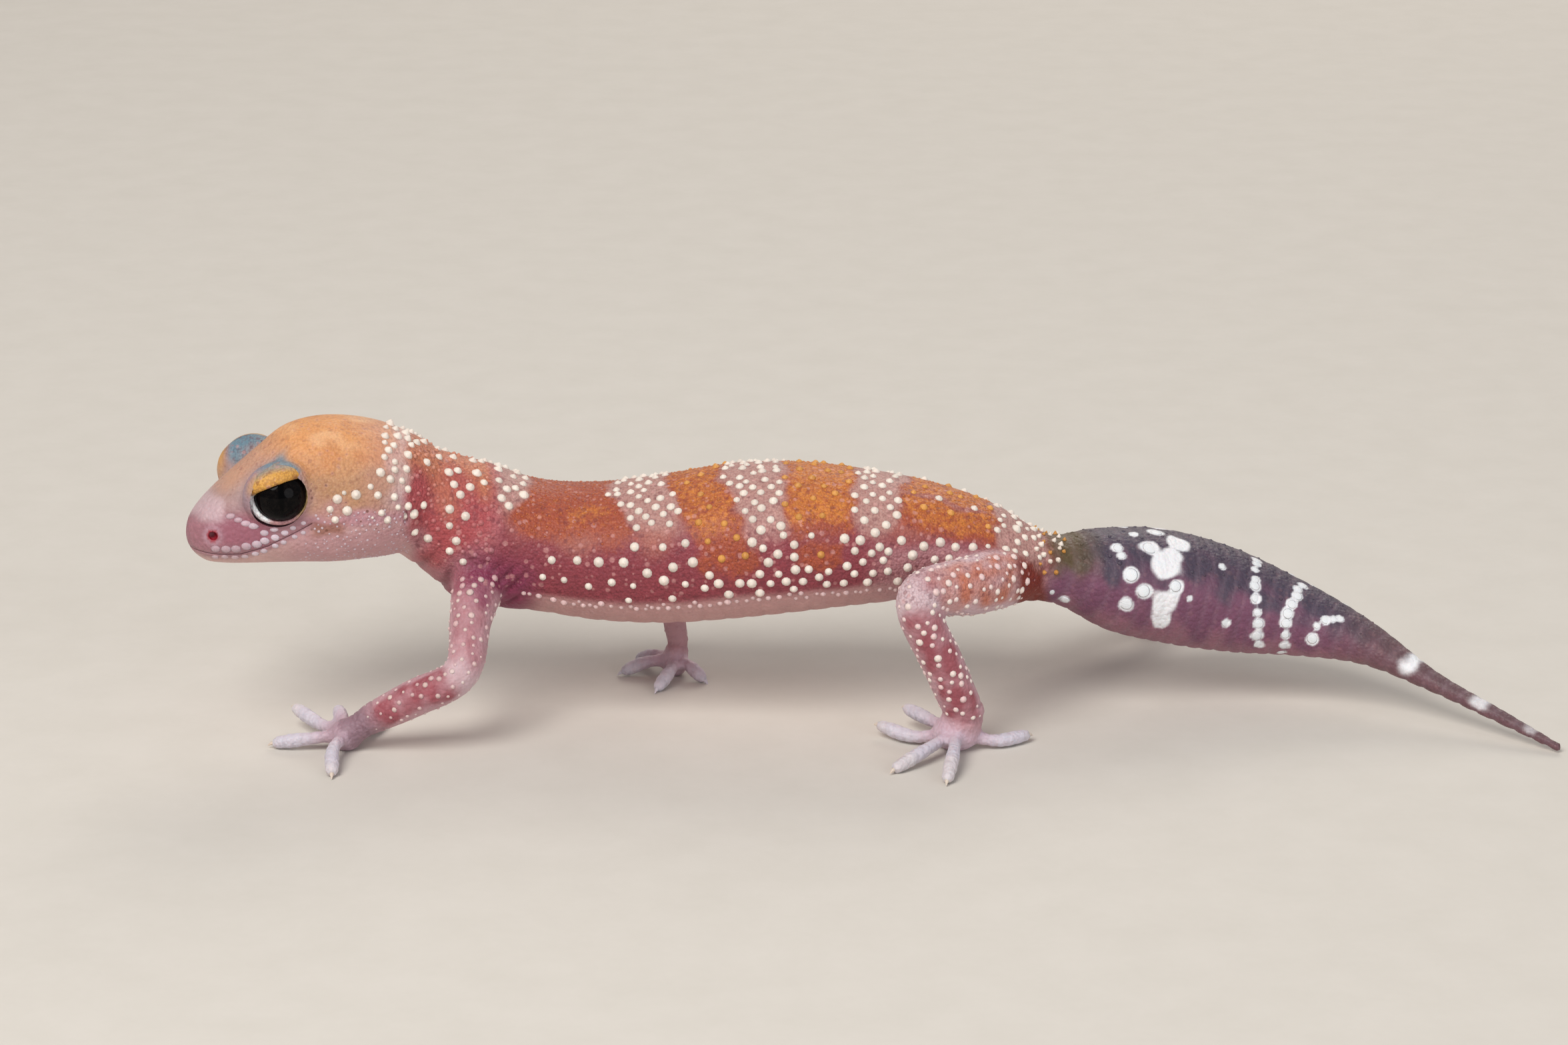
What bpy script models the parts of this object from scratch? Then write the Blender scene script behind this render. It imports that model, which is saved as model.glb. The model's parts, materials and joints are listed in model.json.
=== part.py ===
"""A thick-tailed gecko in life size, standing on a flat floor with its head turned to its left.

The head points along -X and the animal's left side faces -Y. Sizes and places below are in
millimetres. Every mesh is made in metres, and the floor is the plane z = 0.
"""
import math

import bmesh
import bpy
import numpy as np
from mathutils import Matrix, Vector
from mathutils.bvhtree import BVHTree

MM = 0.001
SEAM = 0.3
MODEL_NAME = "thick_tailed_gecko"

# Where the middle of the model's box lies before it is moved onto the origin
CENTRE_X = -0.18
CENTRE_Y = 4.07

# Spine from inside the head to the tip of the tail: x, y, z, half width, half height
SPINE = [
    (-45.5, -1.4, 21.6, 4.6, 4.8),
    (-42.4, -0.6, 20.1, 5.5, 6.0),
    (-39.4, 0.1, 18.1, 6.2, 6.9),
    (-36.0, 0.6, 17.1, 6.8, 6.7),
    (-32.0, 0.9, 16.1, 7.1, 6.1),
    (-25.8, 1.0, 15.4, 7.7, 6.3),
    (-19.5, 0.9, 15.7, 8.2, 6.8),
    (-13.2, 0.7, 16.5, 8.5, 7.1),
    (-6.9, 0.4, 17.0, 8.4, 6.8),
    (-0.7, 0.1, 17.1, 7.6, 6.1),
    (5.6, 0.0, 16.8, 6.5, 5.2),
    (11.9, 0.0, 15.4, 5.3, 4.3),
    (16.6, 0.6, 13.7, 3.9, 3.2),
    (21.4, 1.8, 12.3, 5.2, 4.7),
    (27.7, 3.4, 11.0, 5.9, 5.4),
    (34.1, 3.9, 9.5, 5.5, 4.9),
    (40.4, 2.8, 8.0, 4.2, 3.5),
    (46.6, -0.1, 6.5, 2.5, 2.0),
    (52.6, -4.1, 4.0, 1.15, 0.95),
    (58.3, -8.4, 2.1, 0.75, 0.65),
    (63.2, -12.4, 0.5, 0.4, 0.4),
]
# Powers of the superellipses that round the back, the belly and the head; 2 is an oval
BACK_POWER = 2.0
BELLY_POWER = 2.3
HEAD_POWER = 2.15

# The head has its own frame: d runs back from the snout, e to the animal's left
SNOUT_X = -63.3
SNOUT_Y = -8.0
HEAD_YAW = math.radians(22)
# Sections of the head: d, half width, top, bottom, height of the widest level
HEAD = [
    (0.0, 0.5, 20.5, 19.2, 19.8),
    (0.5, 1.75, 21.6, 18.2, 19.7),
    (1.4, 2.75, 22.7, 17.4, 19.6),
    (3.0, 3.7, 24.1, 17.0, 19.8),
    (5.0, 4.5, 25.6, 16.8, 20.1),
    (7.5, 5.2, 27.4, 16.6, 20.5),
    (10.0, 6.1, 29.0, 16.4, 21.0),
    (13.0, 7.0, 29.5, 16.1, 21.6),
    (16.0, 7.4, 29.2, 16.05, 22.0),
    (19.0, 7.0, 28.4, 16.1, 21.9),
    (21.5, 6.2, 27.2, 16.6, 21.4),
    (24.0, 5.0, 25.6, 16.8, 20.8),
]

# Thin cuts part the trunk. The first is in the head's frame: d, z and how it leans
HEAD_CUT = (20.3, 21.5, 0.13)
SHOULDER_CUT = ((-38.6, 0.2, 17.6), (0.95, 0.1, -0.3))
BODY_CUT_RADIUS = 10.5
# Cuts across the tail: x and radius
TAIL_CUTS = [(16.6, 5.0), (35.5, 8.0), (49.5, 4.0)]
# A point inside each length of the trunk: in the head's frame, then by x along the spine
HEAD_MIDDLE = (12.0, 0.0, 22.5)
TRUNK_NODES = {"neck": -41.0, "torso": -12.0, "tail_base": 26.0, "tail_middle": 42.0, "tail_tip": 57.0}

# Eyes: how far back and out their centres lie, their height and radius
EYE_D = 7.7
EYE_E = 4.4
EYE_Z = 24.1
EYE_RADIUS = 2.55
# The brow swells round each eye: half length, half width, half height
ORBIT_E = 4.5
ORBIT_SIZE = (3.5, 2.2, 3.15)
# The eyes look outwards, a little forwards and a little up
EYE_GAZE = (-0.2, 1.0, 0.22)
# A ring of skin round each eye
RIM_RADIUS = 2.78
RIM_THICK = 0.42
RIM_OUT = 1.0
RIM_SIDES = (14, 5)
# The upper lid lies above a plane: its height over the eye's centre, and how it rises to the
# back of the head and outwards
LID_THICK = 0.5
LID_LINE = 0.58
LID_RISE_BACK = 0.27
LID_RISE_OUT = 0.5

# The mouth line runs back from the snout at these heights: d, z
MOUTH = [(0.0, 18.75), (2.0, 18.6), (4.0, 18.8), (6.3, 19.8), (8.4, 21.0), (10.2, 22.0)]
MOUTH_FRONT = 0.4
MOUTH_STEPS = 9
MOUTH_DEPTH = 0.8
MOUTH_GAP = 0.34
# How far the blade that cuts it stands out from the lips
BLADE_OUT = 0.4
# Small hollows of the head: d, e, z and half sizes
NOSTRIL = ((1.75, 2.3, 20.35), (0.42, 0.5, 0.42))
EAR = ((18.9, 7.15, 21.6), (0.5, 0.9, 1.35))

# Tubercles: low cones set on the skin in rows; the root is how deep they are sunk in it
TUBERCLE_RADIUS = 0.5
TUBERCLE_HEIGHT = 0.48
TUBERCLE_ROOT = 0.3
TUBERCLE_SIDES = 6
TUBERCLE_SPACING = 2.6
# The tip of a tubercle stays this far from every other node
TUBERCLE_CLEAR = 1.05
# Stretches of the back, from x to x, whose pale bands are knobbly from side to side
BANDS = [(-37.4, -34.2), (-22.2, -18.8), (-12.4, -8.2), (-2.2, 2.8), (9.6, 14.6)]
BAND_ARC = (-7, 187)
# Below the smooth saddles only the flanks are knobbly, between these angles in degrees
FLANK = (-15, 36)
# Rows on the neck and tail: x to x, their arc in degrees, spacing and size
NECK_ROWS = (-42.4, -40.2, (-5, 185), 2.6, 0.9)
TAIL_BASE_ROWS = (22.0, 34.0, (15, 165), 3.6, 0.85)
TAIL_MIDDLE_ROWS = (37.5, 47.5, (10, 170), 3.4, 0.8)
# Tubercles of each cheek, d and z, and the row over the nape: d, z of its middle, angles
CHEEK = [(14.2, 24.4), (15.6, 23.3), (16.2, 25.2), (17.6, 24.3), (18.4, 26.2), (17.4, 22.3)]
NAPE = (19.0, 22.5, (30, 60, 90, 120, 150))
HEAD_TUBERCLE = 0.82
# Rows on a limb: from and to, counted in joints, how many, and size
UPPER_ROWS = (0.9, 1.9, 4, 0.75)
LOWER_ROWS = (2.25, 3.85, 5, 0.65)
# They sit on its outer, upper side, at these angles in degrees in even and odd rows
LIMB_SWINGS = ((-10, 70), (-50, 30))
LIMB_TILT = 0.55

# Limbs: joints and radii from the girdle outwards; the last point is the middle of the palm or sole
LIMBS = {
    "left_arm": [(-36.6, -3.0, 15.2, 2.9), (-37.4, -8.0, 11.6, 2.0), (-38.3, -11.6, 7.4, 1.7),
                 (-42.4, -11.9, 5.3, 1.75), (-46.4, -11.4, 3.1, 1.5), (-48.9, -11.2, 1.4, 1.3)],
    "right_arm": [(-31.6, 3.6, 14.6, 2.9), (-26.4, 9.4, 12.6, 2.0), (-21.0, 11.2, 10.6, 1.6),
                  (-19.4, 10.4, 6.6, 1.2), (-18.7, 9.4, 3.2, 1.05), (-19.0, 8.9, 1.4, 1.1)],
    "left_leg": [(13.0, -2.6, 14.4, 3.0), (8.8, -7.8, 14.8, 2.75), (3.9, -11.4, 14.8, 2.1),
                 (6.3, -11.6, 8.2, 1.95), (8.3, -11.0, 3.4, 1.85), (7.5, -10.9, 1.5, 1.85)],
    "right_leg": [(13.0, 2.6, 13.6, 3.0), (15.8, 8.6, 11.8, 2.5), (19.4, 13.7, 9.8, 1.95),
                  (24.0, 17.0, 6.4, 1.8), (28.6, 19.7, 3.2, 1.55), (29.6, 21.5, 1.5, 1.6)],
}
LIMB_PARTS = {
    "left_arm": ("left_upper_arm", "left_forearm", "left_hand"),
    "right_arm": ("right_upper_arm", "right_forearm", "right_hand"),
    "left_leg": ("left_thigh", "left_shank", "left_foot"),
    "right_leg": ("right_thigh", "right_shank", "right_foot"),
}
# Digits: the tip's place, how far the middle is lifted, and how far it sweeps to the side
DIGITS = {
    "left_arm": [(-46.2, -6.6, 0.6, 0.4, 0.0), (-50.0, -7.0, 2.2, 0.3, 0.0), (-54.0, -5.8, 1.9, -0.3, 0.0),
                 (-55.3, -11.2, 0.6, 0.1, -0.3), (-49.6, -18.3, 0.55, 0.4, 0.5)],
    "right_arm": [(-23.7, 8.5, 0.6, 0.4, 0.0), (-22.4, 11.6, 0.7, 0.4, 0.0), (-20.4, 4.2, 0.55, 0.4, -0.4),
                  (-16.4, 6.6, 0.55, 0.5, 0.2), (-18.7, 13.4, 0.6, 0.5, 0.0)],
    "left_leg": [(3.2, -5.8, 1.9, 0.0, 0.0), (0.7, -8.2, 1.1, -0.5, -0.7), (1.9, -17.4, 0.55, 0.3, -0.4),
                 (6.4, -20.0, 0.55, 0.5, -0.2), (13.9, -9.6, 0.7, -0.3, 1.0)],
    "right_leg": [(26.6, 25.4, 0.55, 0.4, 0.3), (29.2, 27.8, 0.55, 0.5, 0.3), (33.0, 28.2, 0.55, 0.5, 0.0),
                  (36.8, 25.2, 0.55, 0.5, 0.0), (36.7, 20.2, 0.55, 0.3, -0.5)],
}
# Thickness of a digit from its root to its blunt tip
DIGIT_RADII = (0.8, 0.68, 0.6, 0.6, 0.68, 0.68, 0.56)
# How far along a digit its bend lies
DIGIT_BEND = 0.55
# The palm swells to these multiples of its listed radius, and is this flat
PALM_TUBE = 1.1
PALM_PAD = 1.35
PALM_FLATNESS = 0.9
# Palms and soles reach this far below the floor before they are cut flat
TREAD = 0.15
GROUND = ((-90, -60, -20), (90, 60, 0))

# A disc that parts a limb at a joint is this many times as wide as the joint
JOINT_REACH = 2.1

# Limbs are cut clear of the trunk by the seam and this much more
ROOT_CLEAR = 0.05

# How fine the solids are
BODY_VOXEL = 0.45
LIMB_VOXEL = 0.26
BODY_TRIANGLES = 3200
LIMB_TRIANGLES = 900
LIMB_RINGS = 26
DIGIT_RINGS = 13
EYE_SEGMENTS = 16
HOLLOW_SEGMENTS = 10
# Round ends of tubes start this share of a step from the pole
CAP_START = 0.35

SKIN_ROUGHNESS = 0.55
EYE_ROUGHNESS = 0.06

COLOURS = {
    "head": (0.55, 0.27, 0.16),
    "neck": (0.48, 0.18, 0.17),
    "torso": (0.52, 0.2, 0.13),
    "tail": (0.17, 0.08, 0.12),
    "limb": (0.5, 0.24, 0.25),
    "eye": (0.01, 0.009, 0.009),
}


def clear_scene():
    """Empties the file of its objects."""
    for old in list(bpy.data.objects):
        bpy.data.objects.remove(old)


def smooth_rows(rows, count):
    """Runs a smooth curve through the rows and returns count rows along it."""
    rows = np.array(rows, dtype=float)
    steps = np.linalg.norm(np.diff(rows[:, :3], axis=0), axis=1)
    at = np.concatenate([[0.0], np.cumsum(steps)])
    slopes = np.gradient(rows, at, axis=0)
    where = np.linspace(0.0, at[-1], count)
    span = np.clip(np.searchsorted(at, where, side="right") - 1, 0, len(at) - 2)
    width = at[span + 1] - at[span]
    t = ((where - at[span]) / width)[:, None]
    width = width[:, None]
    return ((2 * t ** 3 - 3 * t ** 2 + 1) * rows[span] + (t ** 3 - 2 * t ** 2 + t) * width * slopes[span]
            + (3 * t ** 2 - 2 * t ** 3) * rows[span + 1] + (t ** 3 - t ** 2) * width * slopes[span + 1])


def rounded(angle, power):
    """A point of the unit superellipse, whose power of 2 is a circle."""
    c, s = math.cos(angle), math.sin(angle)
    return math.copysign(abs(c) ** (2 / power), c), math.copysign(abs(s) ** (2 / power), s)


def head_point(d, e, z):
    """A point of the head's frame, in the model's frame."""
    c, s = math.cos(HEAD_YAW), math.sin(HEAD_YAW)
    return Vector((SNOUT_X + d * c + e * s, SNOUT_Y + d * s - e * c, z))


def loft(rings):
    """A closed mesh through rings of equally many points, in millimetres."""
    shape = bmesh.new()
    rows = [[shape.verts.new(Vector(p) * MM) for p in ring] for ring in rings]
    size = len(rows[0])
    for first, second in zip(rows, rows[1:]):
        for i in range(size):
            j = (i + 1) % size
            shape.faces.new((first[i], first[j], second[j], second[i]))
    shape.faces.new(rows[0])
    shape.faces.new(rows[-1])
    bmesh.ops.recalc_face_normals(shape, faces=shape.faces)
    return shape


def add_object(name, shape, collection):
    """Makes an object of a bmesh and frees the bmesh."""
    mesh = bpy.data.meshes.new(name)
    shape.to_mesh(mesh)
    shape.free()
    made = bpy.data.objects.new(name, mesh)
    collection.objects.link(made)
    return made


def spine_rings(sides=28, count=90):
    """Upright oval rings along the spine, flatter under the belly."""
    rows = smooth_rows(SPINE, count)
    heading = np.gradient(rows[:, :2], axis=0)
    rings = []
    for (x, y, z, wide, high), (hx, hy) in zip(rows, heading):
        long = math.hypot(hx, hy)
        side = (-hy / long, hx / long)
        ring = []
        for i in range(sides):
            angle = 2 * math.pi * i / sides
            u, v = rounded(angle, BACK_POWER if math.sin(angle) > 0 else BELLY_POWER)
            ring.append((x + side[0] * wide * u, y + side[1] * wide * u, z + high * v))
        rings.append(ring)
    return rings


def head_rings(sides=32, count=40):
    """Rings of the head, from the snout to inside the neck."""
    rings = []
    for d, wide, top, bottom, level in smooth_rows(HEAD, count):
        ring = []
        for i in range(sides):
            u, v = rounded(2 * math.pi * i / sides, HEAD_POWER)
            height = level + v * (top - level if v > 0 else level - bottom)
            ring.append(head_point(d, wide * u, height))
        rings.append(ring)
    return rings


def tube_rings(path, radii, flatness=1.0, sides=14, cap=5):
    """Rings of a tapered tube with round ends; flatness squeezes it in height."""
    path = [Vector(p) for p in path]
    tangents = [(path[min(i + 1, len(path) - 1)] - path[max(i - 1, 0)]).normalized() for i in range(len(path))]
    swings = [math.pi / 2 * (k + CAP_START) / (cap + CAP_START) for k in range(cap)]
    stops = [(path[0] - tangents[0] * radii[0] * math.cos(swing), tangents[0], radii[0] * math.sin(swing))
             for swing in swings]
    stops += list(zip(path, tangents, radii))
    stops += [(path[-1] + tangents[-1] * radii[-1] * math.cos(swing), tangents[-1], radii[-1] * math.sin(swing))
              for swing in reversed(swings)]
    rings = []
    side = tangents[0].cross(Vector((0, 0, 1))).normalized()
    for centre, along, radius in stops:
        side = (side - along * side.dot(along)).normalized()
        rise = side.cross(along)
        ring = []
        for i in range(sides):
            angle = 2 * math.pi * i / sides
            point = side * math.cos(angle) + rise * math.sin(angle)
            point.z *= flatness
            ring.append(centre + point * radius)
        rings.append(ring)
    return rings


def ellipsoid(centre, size, turn, segments=24):
    """A round lump of the given half sizes, turned about the upright axis."""
    shape = bmesh.new()
    bmesh.ops.create_uvsphere(shape, u_segments=segments, v_segments=segments // 2, radius=1.0)
    place = Matrix.Translation(centre * MM) @ Matrix.Rotation(turn, 4, "Z")
    shape.transform(place @ Matrix.Diagonal((*[s * MM for s in size], 1.0)))
    return shape


def disc(centre, normal, radius, thick):
    """A thin round plate that parts one node from the next."""
    shape = bmesh.new()
    bmesh.ops.create_cone(shape, cap_ends=True, segments=24, radius1=radius * MM, radius2=radius * MM,
                          depth=thick * MM)
    turn = Vector(normal).to_track_quat("Z", "Y").to_matrix().to_4x4()
    shape.transform(Matrix.Translation(Vector(centre) * MM) @ turn)
    return shape


def box(low, high):
    """A plain block between two corners."""
    shape = bmesh.new()
    bmesh.ops.create_cube(shape, size=1.0)
    low, high = Vector(low) * MM, Vector(high) * MM
    shape.transform(Matrix.Translation((low + high) / 2) @ Matrix.Diagonal((*(high - low), 1.0)))
    return shape


def add_modifier(target, kind, settings):
    """Adds a modifier with its settings."""
    made = target.modifiers.new(kind.title(), kind)
    for key, value in settings.items():
        setattr(made, key, value)
    return made


def apply_modifiers(target):
    """Replaces an object's mesh by what its modifiers make of it."""
    bpy.context.view_layer.update()
    result = bpy.data.meshes.new_from_object(target.evaluated_get(bpy.context.evaluated_depsgraph_get()))
    target.modifiers.clear()
    target.data = result


def fuse(name, shapes, voxel, triangles, collection):
    """Melts overlapping closed shapes into one smooth closed body of about so many triangles."""
    whole = bmesh.new()
    for shape in shapes:
        piece = bpy.data.meshes.new("piece")
        shape.to_mesh(piece)
        shape.free()
        whole.from_mesh(piece)
        bpy.data.meshes.remove(piece)
    made = add_object(name, whole, collection)
    add_modifier(made, "REMESH", {"mode": "VOXEL", "voxel_size": voxel * MM, "adaptivity": 0.0})
    add_modifier(made, "SMOOTH", {"factor": 0.5, "iterations": 2})
    apply_modifiers(made)
    keep_largest(made)
    add_modifier(made, "TRIANGULATE", {})
    apply_modifiers(made)
    ratio = triangles / len(made.data.polygons)
    add_modifier(made, "DECIMATE", {"ratio": min(1.0, ratio)})
    apply_modifiers(made)
    return made


def islands(shape):
    """The separate closed surfaces of a bmesh, each as a set of faces."""
    left = set(shape.faces)
    found = []
    while left:
        edge = [left.pop()]
        island = set(edge)
        while edge:
            face = edge.pop()
            for near in (other for side in face.edges for other in side.link_faces):
                if near in left:
                    left.discard(near)
                    island.add(near)
                    edge.append(near)
        found.append(island)
    return found


def keep_largest(target):
    """Drops all but an object's largest closed surface, which also fills sealed hollows."""
    shape = bmesh.new()
    shape.from_mesh(target.data)
    found = sorted(islands(shape), key=lambda island: sum(f.calc_area() for f in island))
    loose = [face for island in found[:-1] for face in island]
    bmesh.ops.delete(shape, geom=loose, context="FACES")
    shape.to_mesh(target.data)
    shape.free()


def combine(target, shapes, operation, cutters):
    """Cuts or joins closed shapes with an object, by one Boolean on a collection."""
    group = bpy.data.collections.new("tools_" + target.name)
    cutters.children.link(group)
    for shape in shapes:
        tool = add_object("tool", shape, group)
        tool.display_type = "WIRE"
        tool.hide_render = True
    add_modifier(target, "BOOLEAN", {"operation": operation, "solver": "MANIFOLD", "operand_type": "COLLECTION",
                                     "collection": group})
    apply_modifiers(target)
    for tool in list(group.objects):
        bpy.data.objects.remove(tool)
    bpy.data.collections.remove(group)


def part_by_seeds(target, seeds, collection):
    """Splits an object into its loose bodies, each named for the seed point nearest to it."""
    whole = bmesh.new()
    whole.from_mesh(target.data)
    groups = {}
    for island in islands(whole):
        corners = {v for face in island for v in face.verts}
        middle = sum((v.co for v in corners), Vector()) / len(corners) / MM
        name = min(seeds, key=lambda seed: (Vector(seeds[seed]) - middle).length)
        size = sum(face.calc_area() for face in island)
        if name not in groups or size > groups[name][0]:
            groups[name] = (size, {v.index for v in corners})
    whole.free()
    made = {}
    for name, (_, keep) in groups.items():
        shape = bmesh.new()
        shape.from_mesh(target.data)
        shape.verts.ensure_lookup_table()
        bmesh.ops.delete(shape, geom=[v for v in shape.verts if v.index not in keep], context="VERTS")
        made[name] = add_object(name, shape, collection)
    bpy.data.objects.remove(target)
    return made


def spine_at(x):
    """The spine's row at a given x."""
    rows = smooth_rows(SPINE, 400)
    return [float(np.interp(x, rows[:, 0], rows[:, k])) for k in range(5)]


def make_trunk(work):
    """Head, neck, torso and tail as one body."""
    orbits = [ellipsoid(head_point(EYE_D, side * ORBIT_E, EYE_Z), ORBIT_SIZE, HEAD_YAW) for side in (1, -1)]
    return fuse("trunk", [loft(spine_rings()), loft(head_rings())] + orbits, BODY_VOXEL, BODY_TRIANGLES, work)


def part_trunk(trunk, cutters, collection):
    """Parts the trunk into head, neck, torso and three lengths of tail."""
    d, z, lean = HEAD_CUT
    cuts = [
        disc(head_point(d, 0.0, z), (math.cos(HEAD_YAW), math.sin(HEAD_YAW), lean), BODY_CUT_RADIUS, SEAM),
        disc(*SHOULDER_CUT, BODY_CUT_RADIUS, SEAM),
    ]
    for x, radius in TAIL_CUTS:
        here, ahead = Vector(spine_at(x)[:3]), Vector(spine_at(x + 1.0)[:3])
        cuts.append(disc(here, ahead - here, radius, SEAM))
    combine(trunk, cuts, "DIFFERENCE", cutters)
    seeds = {name: spine_at(x)[:3] for name, x in TRUNK_NODES.items()}
    seeds["head"] = head_point(*HEAD_MIDDLE)
    return part_by_seeds(trunk, seeds, collection)


def limb_shapes(name):
    """A limb's tube, its palm and its digits."""
    points = [Vector(p[:3]) for p in LIMBS[name]]
    rows = smooth_rows(LIMBS[name][:5], LIMB_RINGS)
    shapes = [loft(tube_rings([r[:3] for r in rows], rows[:, 3]))]
    wrist, palm = points[4], points[5]
    thick, wide = LIMBS[name][4][3], LIMBS[name][5][3]
    shapes.append(loft(tube_rings([wrist, wrist.lerp(palm, 0.5), palm], [thick, wide * PALM_TUBE, wide],
                                  PALM_FLATNESS)))
    shapes.append(ellipsoid(palm, (wide * PALM_PAD, wide * PALM_PAD, palm.z + TREAD), 0.0))
    stations = np.linspace(0, 1, DIGIT_RINGS)
    radii = np.interp(stations, np.linspace(0, 1, len(DIGIT_RADII)), DIGIT_RADII)
    for x, y, z, lift, sweep in DIGITS[name]:
        tip = Vector((x, y, z))
        along = (tip - palm).normalized()
        middle = palm.lerp(tip, DIGIT_BEND) + Vector((along.y, -along.x, 0)) * sweep
        middle.z = (palm.z + z) / 2 + lift
        rows = smooth_rows([palm, middle, tip], DIGIT_RINGS)
        shapes.append(loft(tube_rings(rows, radii, sides=10, cap=3)))
    return shapes


def make_limb(name, trunk_grown, cutters, collection):
    """One limb, cut clear of the trunk and parted at its two joints."""
    limb = fuse(name, limb_shapes(name), LIMB_VOXEL, LIMB_TRIANGLES, collection)
    combine(limb, [trunk_grown], "DIFFERENCE", cutters)
    keep_largest(limb)
    points = [Vector(p[:3]) for p in LIMBS[name]]
    radii = [p[3] for p in LIMBS[name]]
    cuts = []
    for joint in (2, 4):
        along = (points[joint + 1] - points[joint]).normalized() + (points[joint] - points[joint - 1]).normalized()
        cuts.append(disc(points[joint], along, radii[joint] * JOINT_REACH, SEAM))
    combine(limb, cuts, "DIFFERENCE", cutters)
    upper, lower, end = LIMB_PARTS[name]
    seeds = {upper: points[1], lower: points[3], end: points[5]}
    return part_by_seeds(limb, seeds, collection)


def grown_trunk(trunk):
    """A copy of the trunk grown by the seam's width, to cut the limbs' roots."""
    shape = bmesh.new()
    shape.from_mesh(trunk.data)
    shape.normal_update()
    moves = [v.normal * (SEAM + ROOT_CLEAR) * MM for v in shape.verts]
    for v, move in zip(shape.verts, moves):
        v.co += move
    return shape


def eye_centre(side):
    """The middle of an eyeball; side is 1 on the animal's left and -1 on its right."""
    return head_point(EYE_D, side * EYE_E, EYE_Z)


def gaze(side):
    """The direction in which an eye looks."""
    d, e, z = EYE_GAZE
    return (head_point(d, side * e, z) - head_point(0, 0, 0)).normalized()


def eye_rim(side):
    """A ring of skin round the eye."""
    look = gaze(side)
    across = look.cross(Vector((0, 0, 1))).normalized()
    up = across.cross(look)
    middle = eye_centre(side) + look * RIM_OUT
    around, through = RIM_SIDES
    shape = bmesh.new()
    rows = []
    for i in range(around):
        angle = 2 * math.pi * i / around
        out = across * math.cos(angle) + up * math.sin(angle)
        centre = middle + out * RIM_RADIUS
        ring = [centre + (out * math.cos(t) + look * math.sin(t)) * RIM_THICK
                for t in (2 * math.pi * k / through for k in range(through))]
        rows.append([shape.verts.new(p * MM) for p in ring])
    for i, row in enumerate(rows):
        after = rows[(i + 1) % around]
        for k in range(through):
            n = (k + 1) % through
            shape.faces.new((row[k], row[n], after[n], after[k]))
    bmesh.ops.recalc_face_normals(shape, faces=shape.faces)
    return shape


def eye_lid(side):
    """The upper lid: the part of a ball round the eyeball that lies above a slanting plane."""
    shape = ellipsoid(eye_centre(side), (EYE_RADIUS + SEAM + LID_THICK,) * 3, 0.0, 16)
    start, back, out = (head_point(EYE_D + d, side * (EYE_E + e),
                                   EYE_Z + LID_LINE + LID_RISE_BACK * d + LID_RISE_OUT * e)
                        for d, e in ((0, 0), (1, 0), (0, 1)))
    down = (back - start).cross(out - start)
    if down.z > 0:
        down.negate()
    everything = shape.verts[:] + shape.edges[:] + shape.faces[:]
    cut = bmesh.ops.bisect_plane(shape, geom=everything, dist=MM * 0.001, plane_co=start * MM, plane_no=down,
                                 clear_outer=True)
    rim = [item for item in cut["geom_cut"] if isinstance(item, bmesh.types.BMEdge)]
    bmesh.ops.contextual_create(shape, geom=rim)
    bmesh.ops.recalc_face_normals(shape, faces=shape.faces)
    return shape


def head_section(d):
    """Half width, top, bottom and widest level of the head at d."""
    rows = smooth_rows(HEAD, 200)
    return [float(np.interp(d, rows[:, 0], rows[:, k])) for k in range(1, 5)]


def mouth_cutter():
    """A thin blade bent round the snout, which cuts the line of the mouth."""
    path = []
    corner = MOUTH[-1][0]
    for share in np.linspace(1.0, math.sqrt(MOUTH_FRONT / corner), MOUTH_STEPS):
        d = corner * share * share
        wide, _, bottom, level = head_section(d)
        z = float(np.interp(d, [p[0] for p in MOUTH], [p[1] for p in MOUTH]))
        drop = min(1.0, abs(z - level) / (level - bottom))
        path.append(Vector((d, wide * (1 - drop ** HEAD_POWER) ** (1 / HEAD_POWER), z)))
    path.append(Vector((0.0, 0.0, MOUTH[0][1])))
    path += [Vector((p.x, -p.y, p.z)) for p in reversed(path[:-1])]
    rise = Vector((0, 0, MOUTH_GAP / 2))
    rings = []
    for i, here in enumerate(path):
        run = path[min(i + 1, len(path) - 1)] - path[max(i - 1, 0)]
        out = Vector((run.y, -run.x, 0)).normalized()
        inner, outer = here - out * MOUTH_DEPTH, here + out * BLADE_OUT
        rings.append([head_point(*p) for p in (inner - rise, outer - rise, outer + rise, inner + rise)])
    return loft(rings)


def hollow(place, size, side):
    """A small rounded hollow on one side of the head."""
    d, e, z = place
    return ellipsoid(head_point(d, side * e, z), size, HEAD_YAW, HOLLOW_SEGMENTS)


def tubercle(point, normal, scale):
    """A low cone that stands on the skin, with its root sunk in."""
    high = TUBERCLE_HEIGHT * scale * MM
    deep = TUBERCLE_ROOT * MM
    root = TUBERCLE_RADIUS * scale * MM * (high + deep) / high
    turn = normal.to_track_quat("Z", "Y").to_matrix().to_4x4()
    shape = bmesh.new()
    bmesh.ops.create_cone(shape, cap_ends=True, segments=TUBERCLE_SIDES, radius1=root, radius2=0.0,
                          depth=high + deep)
    shape.transform(Matrix.Translation(point) @ turn @ Matrix.Translation((0, 0, (high - deep) / 2)))
    return shape


def skin_points(name, trees, aims):
    """Where rays from inside a node meet its skin, for each start, direction and scale.

    A point is left out where a tubercle on it would come too near another node.
    """
    found = []
    for start, direction, scale in aims:
        place, normal, _, _ = trees[name].ray_cast(Vector(start) * MM, Vector(direction).normalized())
        if place is None:
            continue
        tip = place + normal * TUBERCLE_HEIGHT * scale * MM
        near = [other for other, tree in trees.items()
                if other != name and tree.find_nearest(tip, TUBERCLE_CLEAR * MM)[0] is not None]
        if not near:
            found.append((place, normal, scale))
    return found


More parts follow.
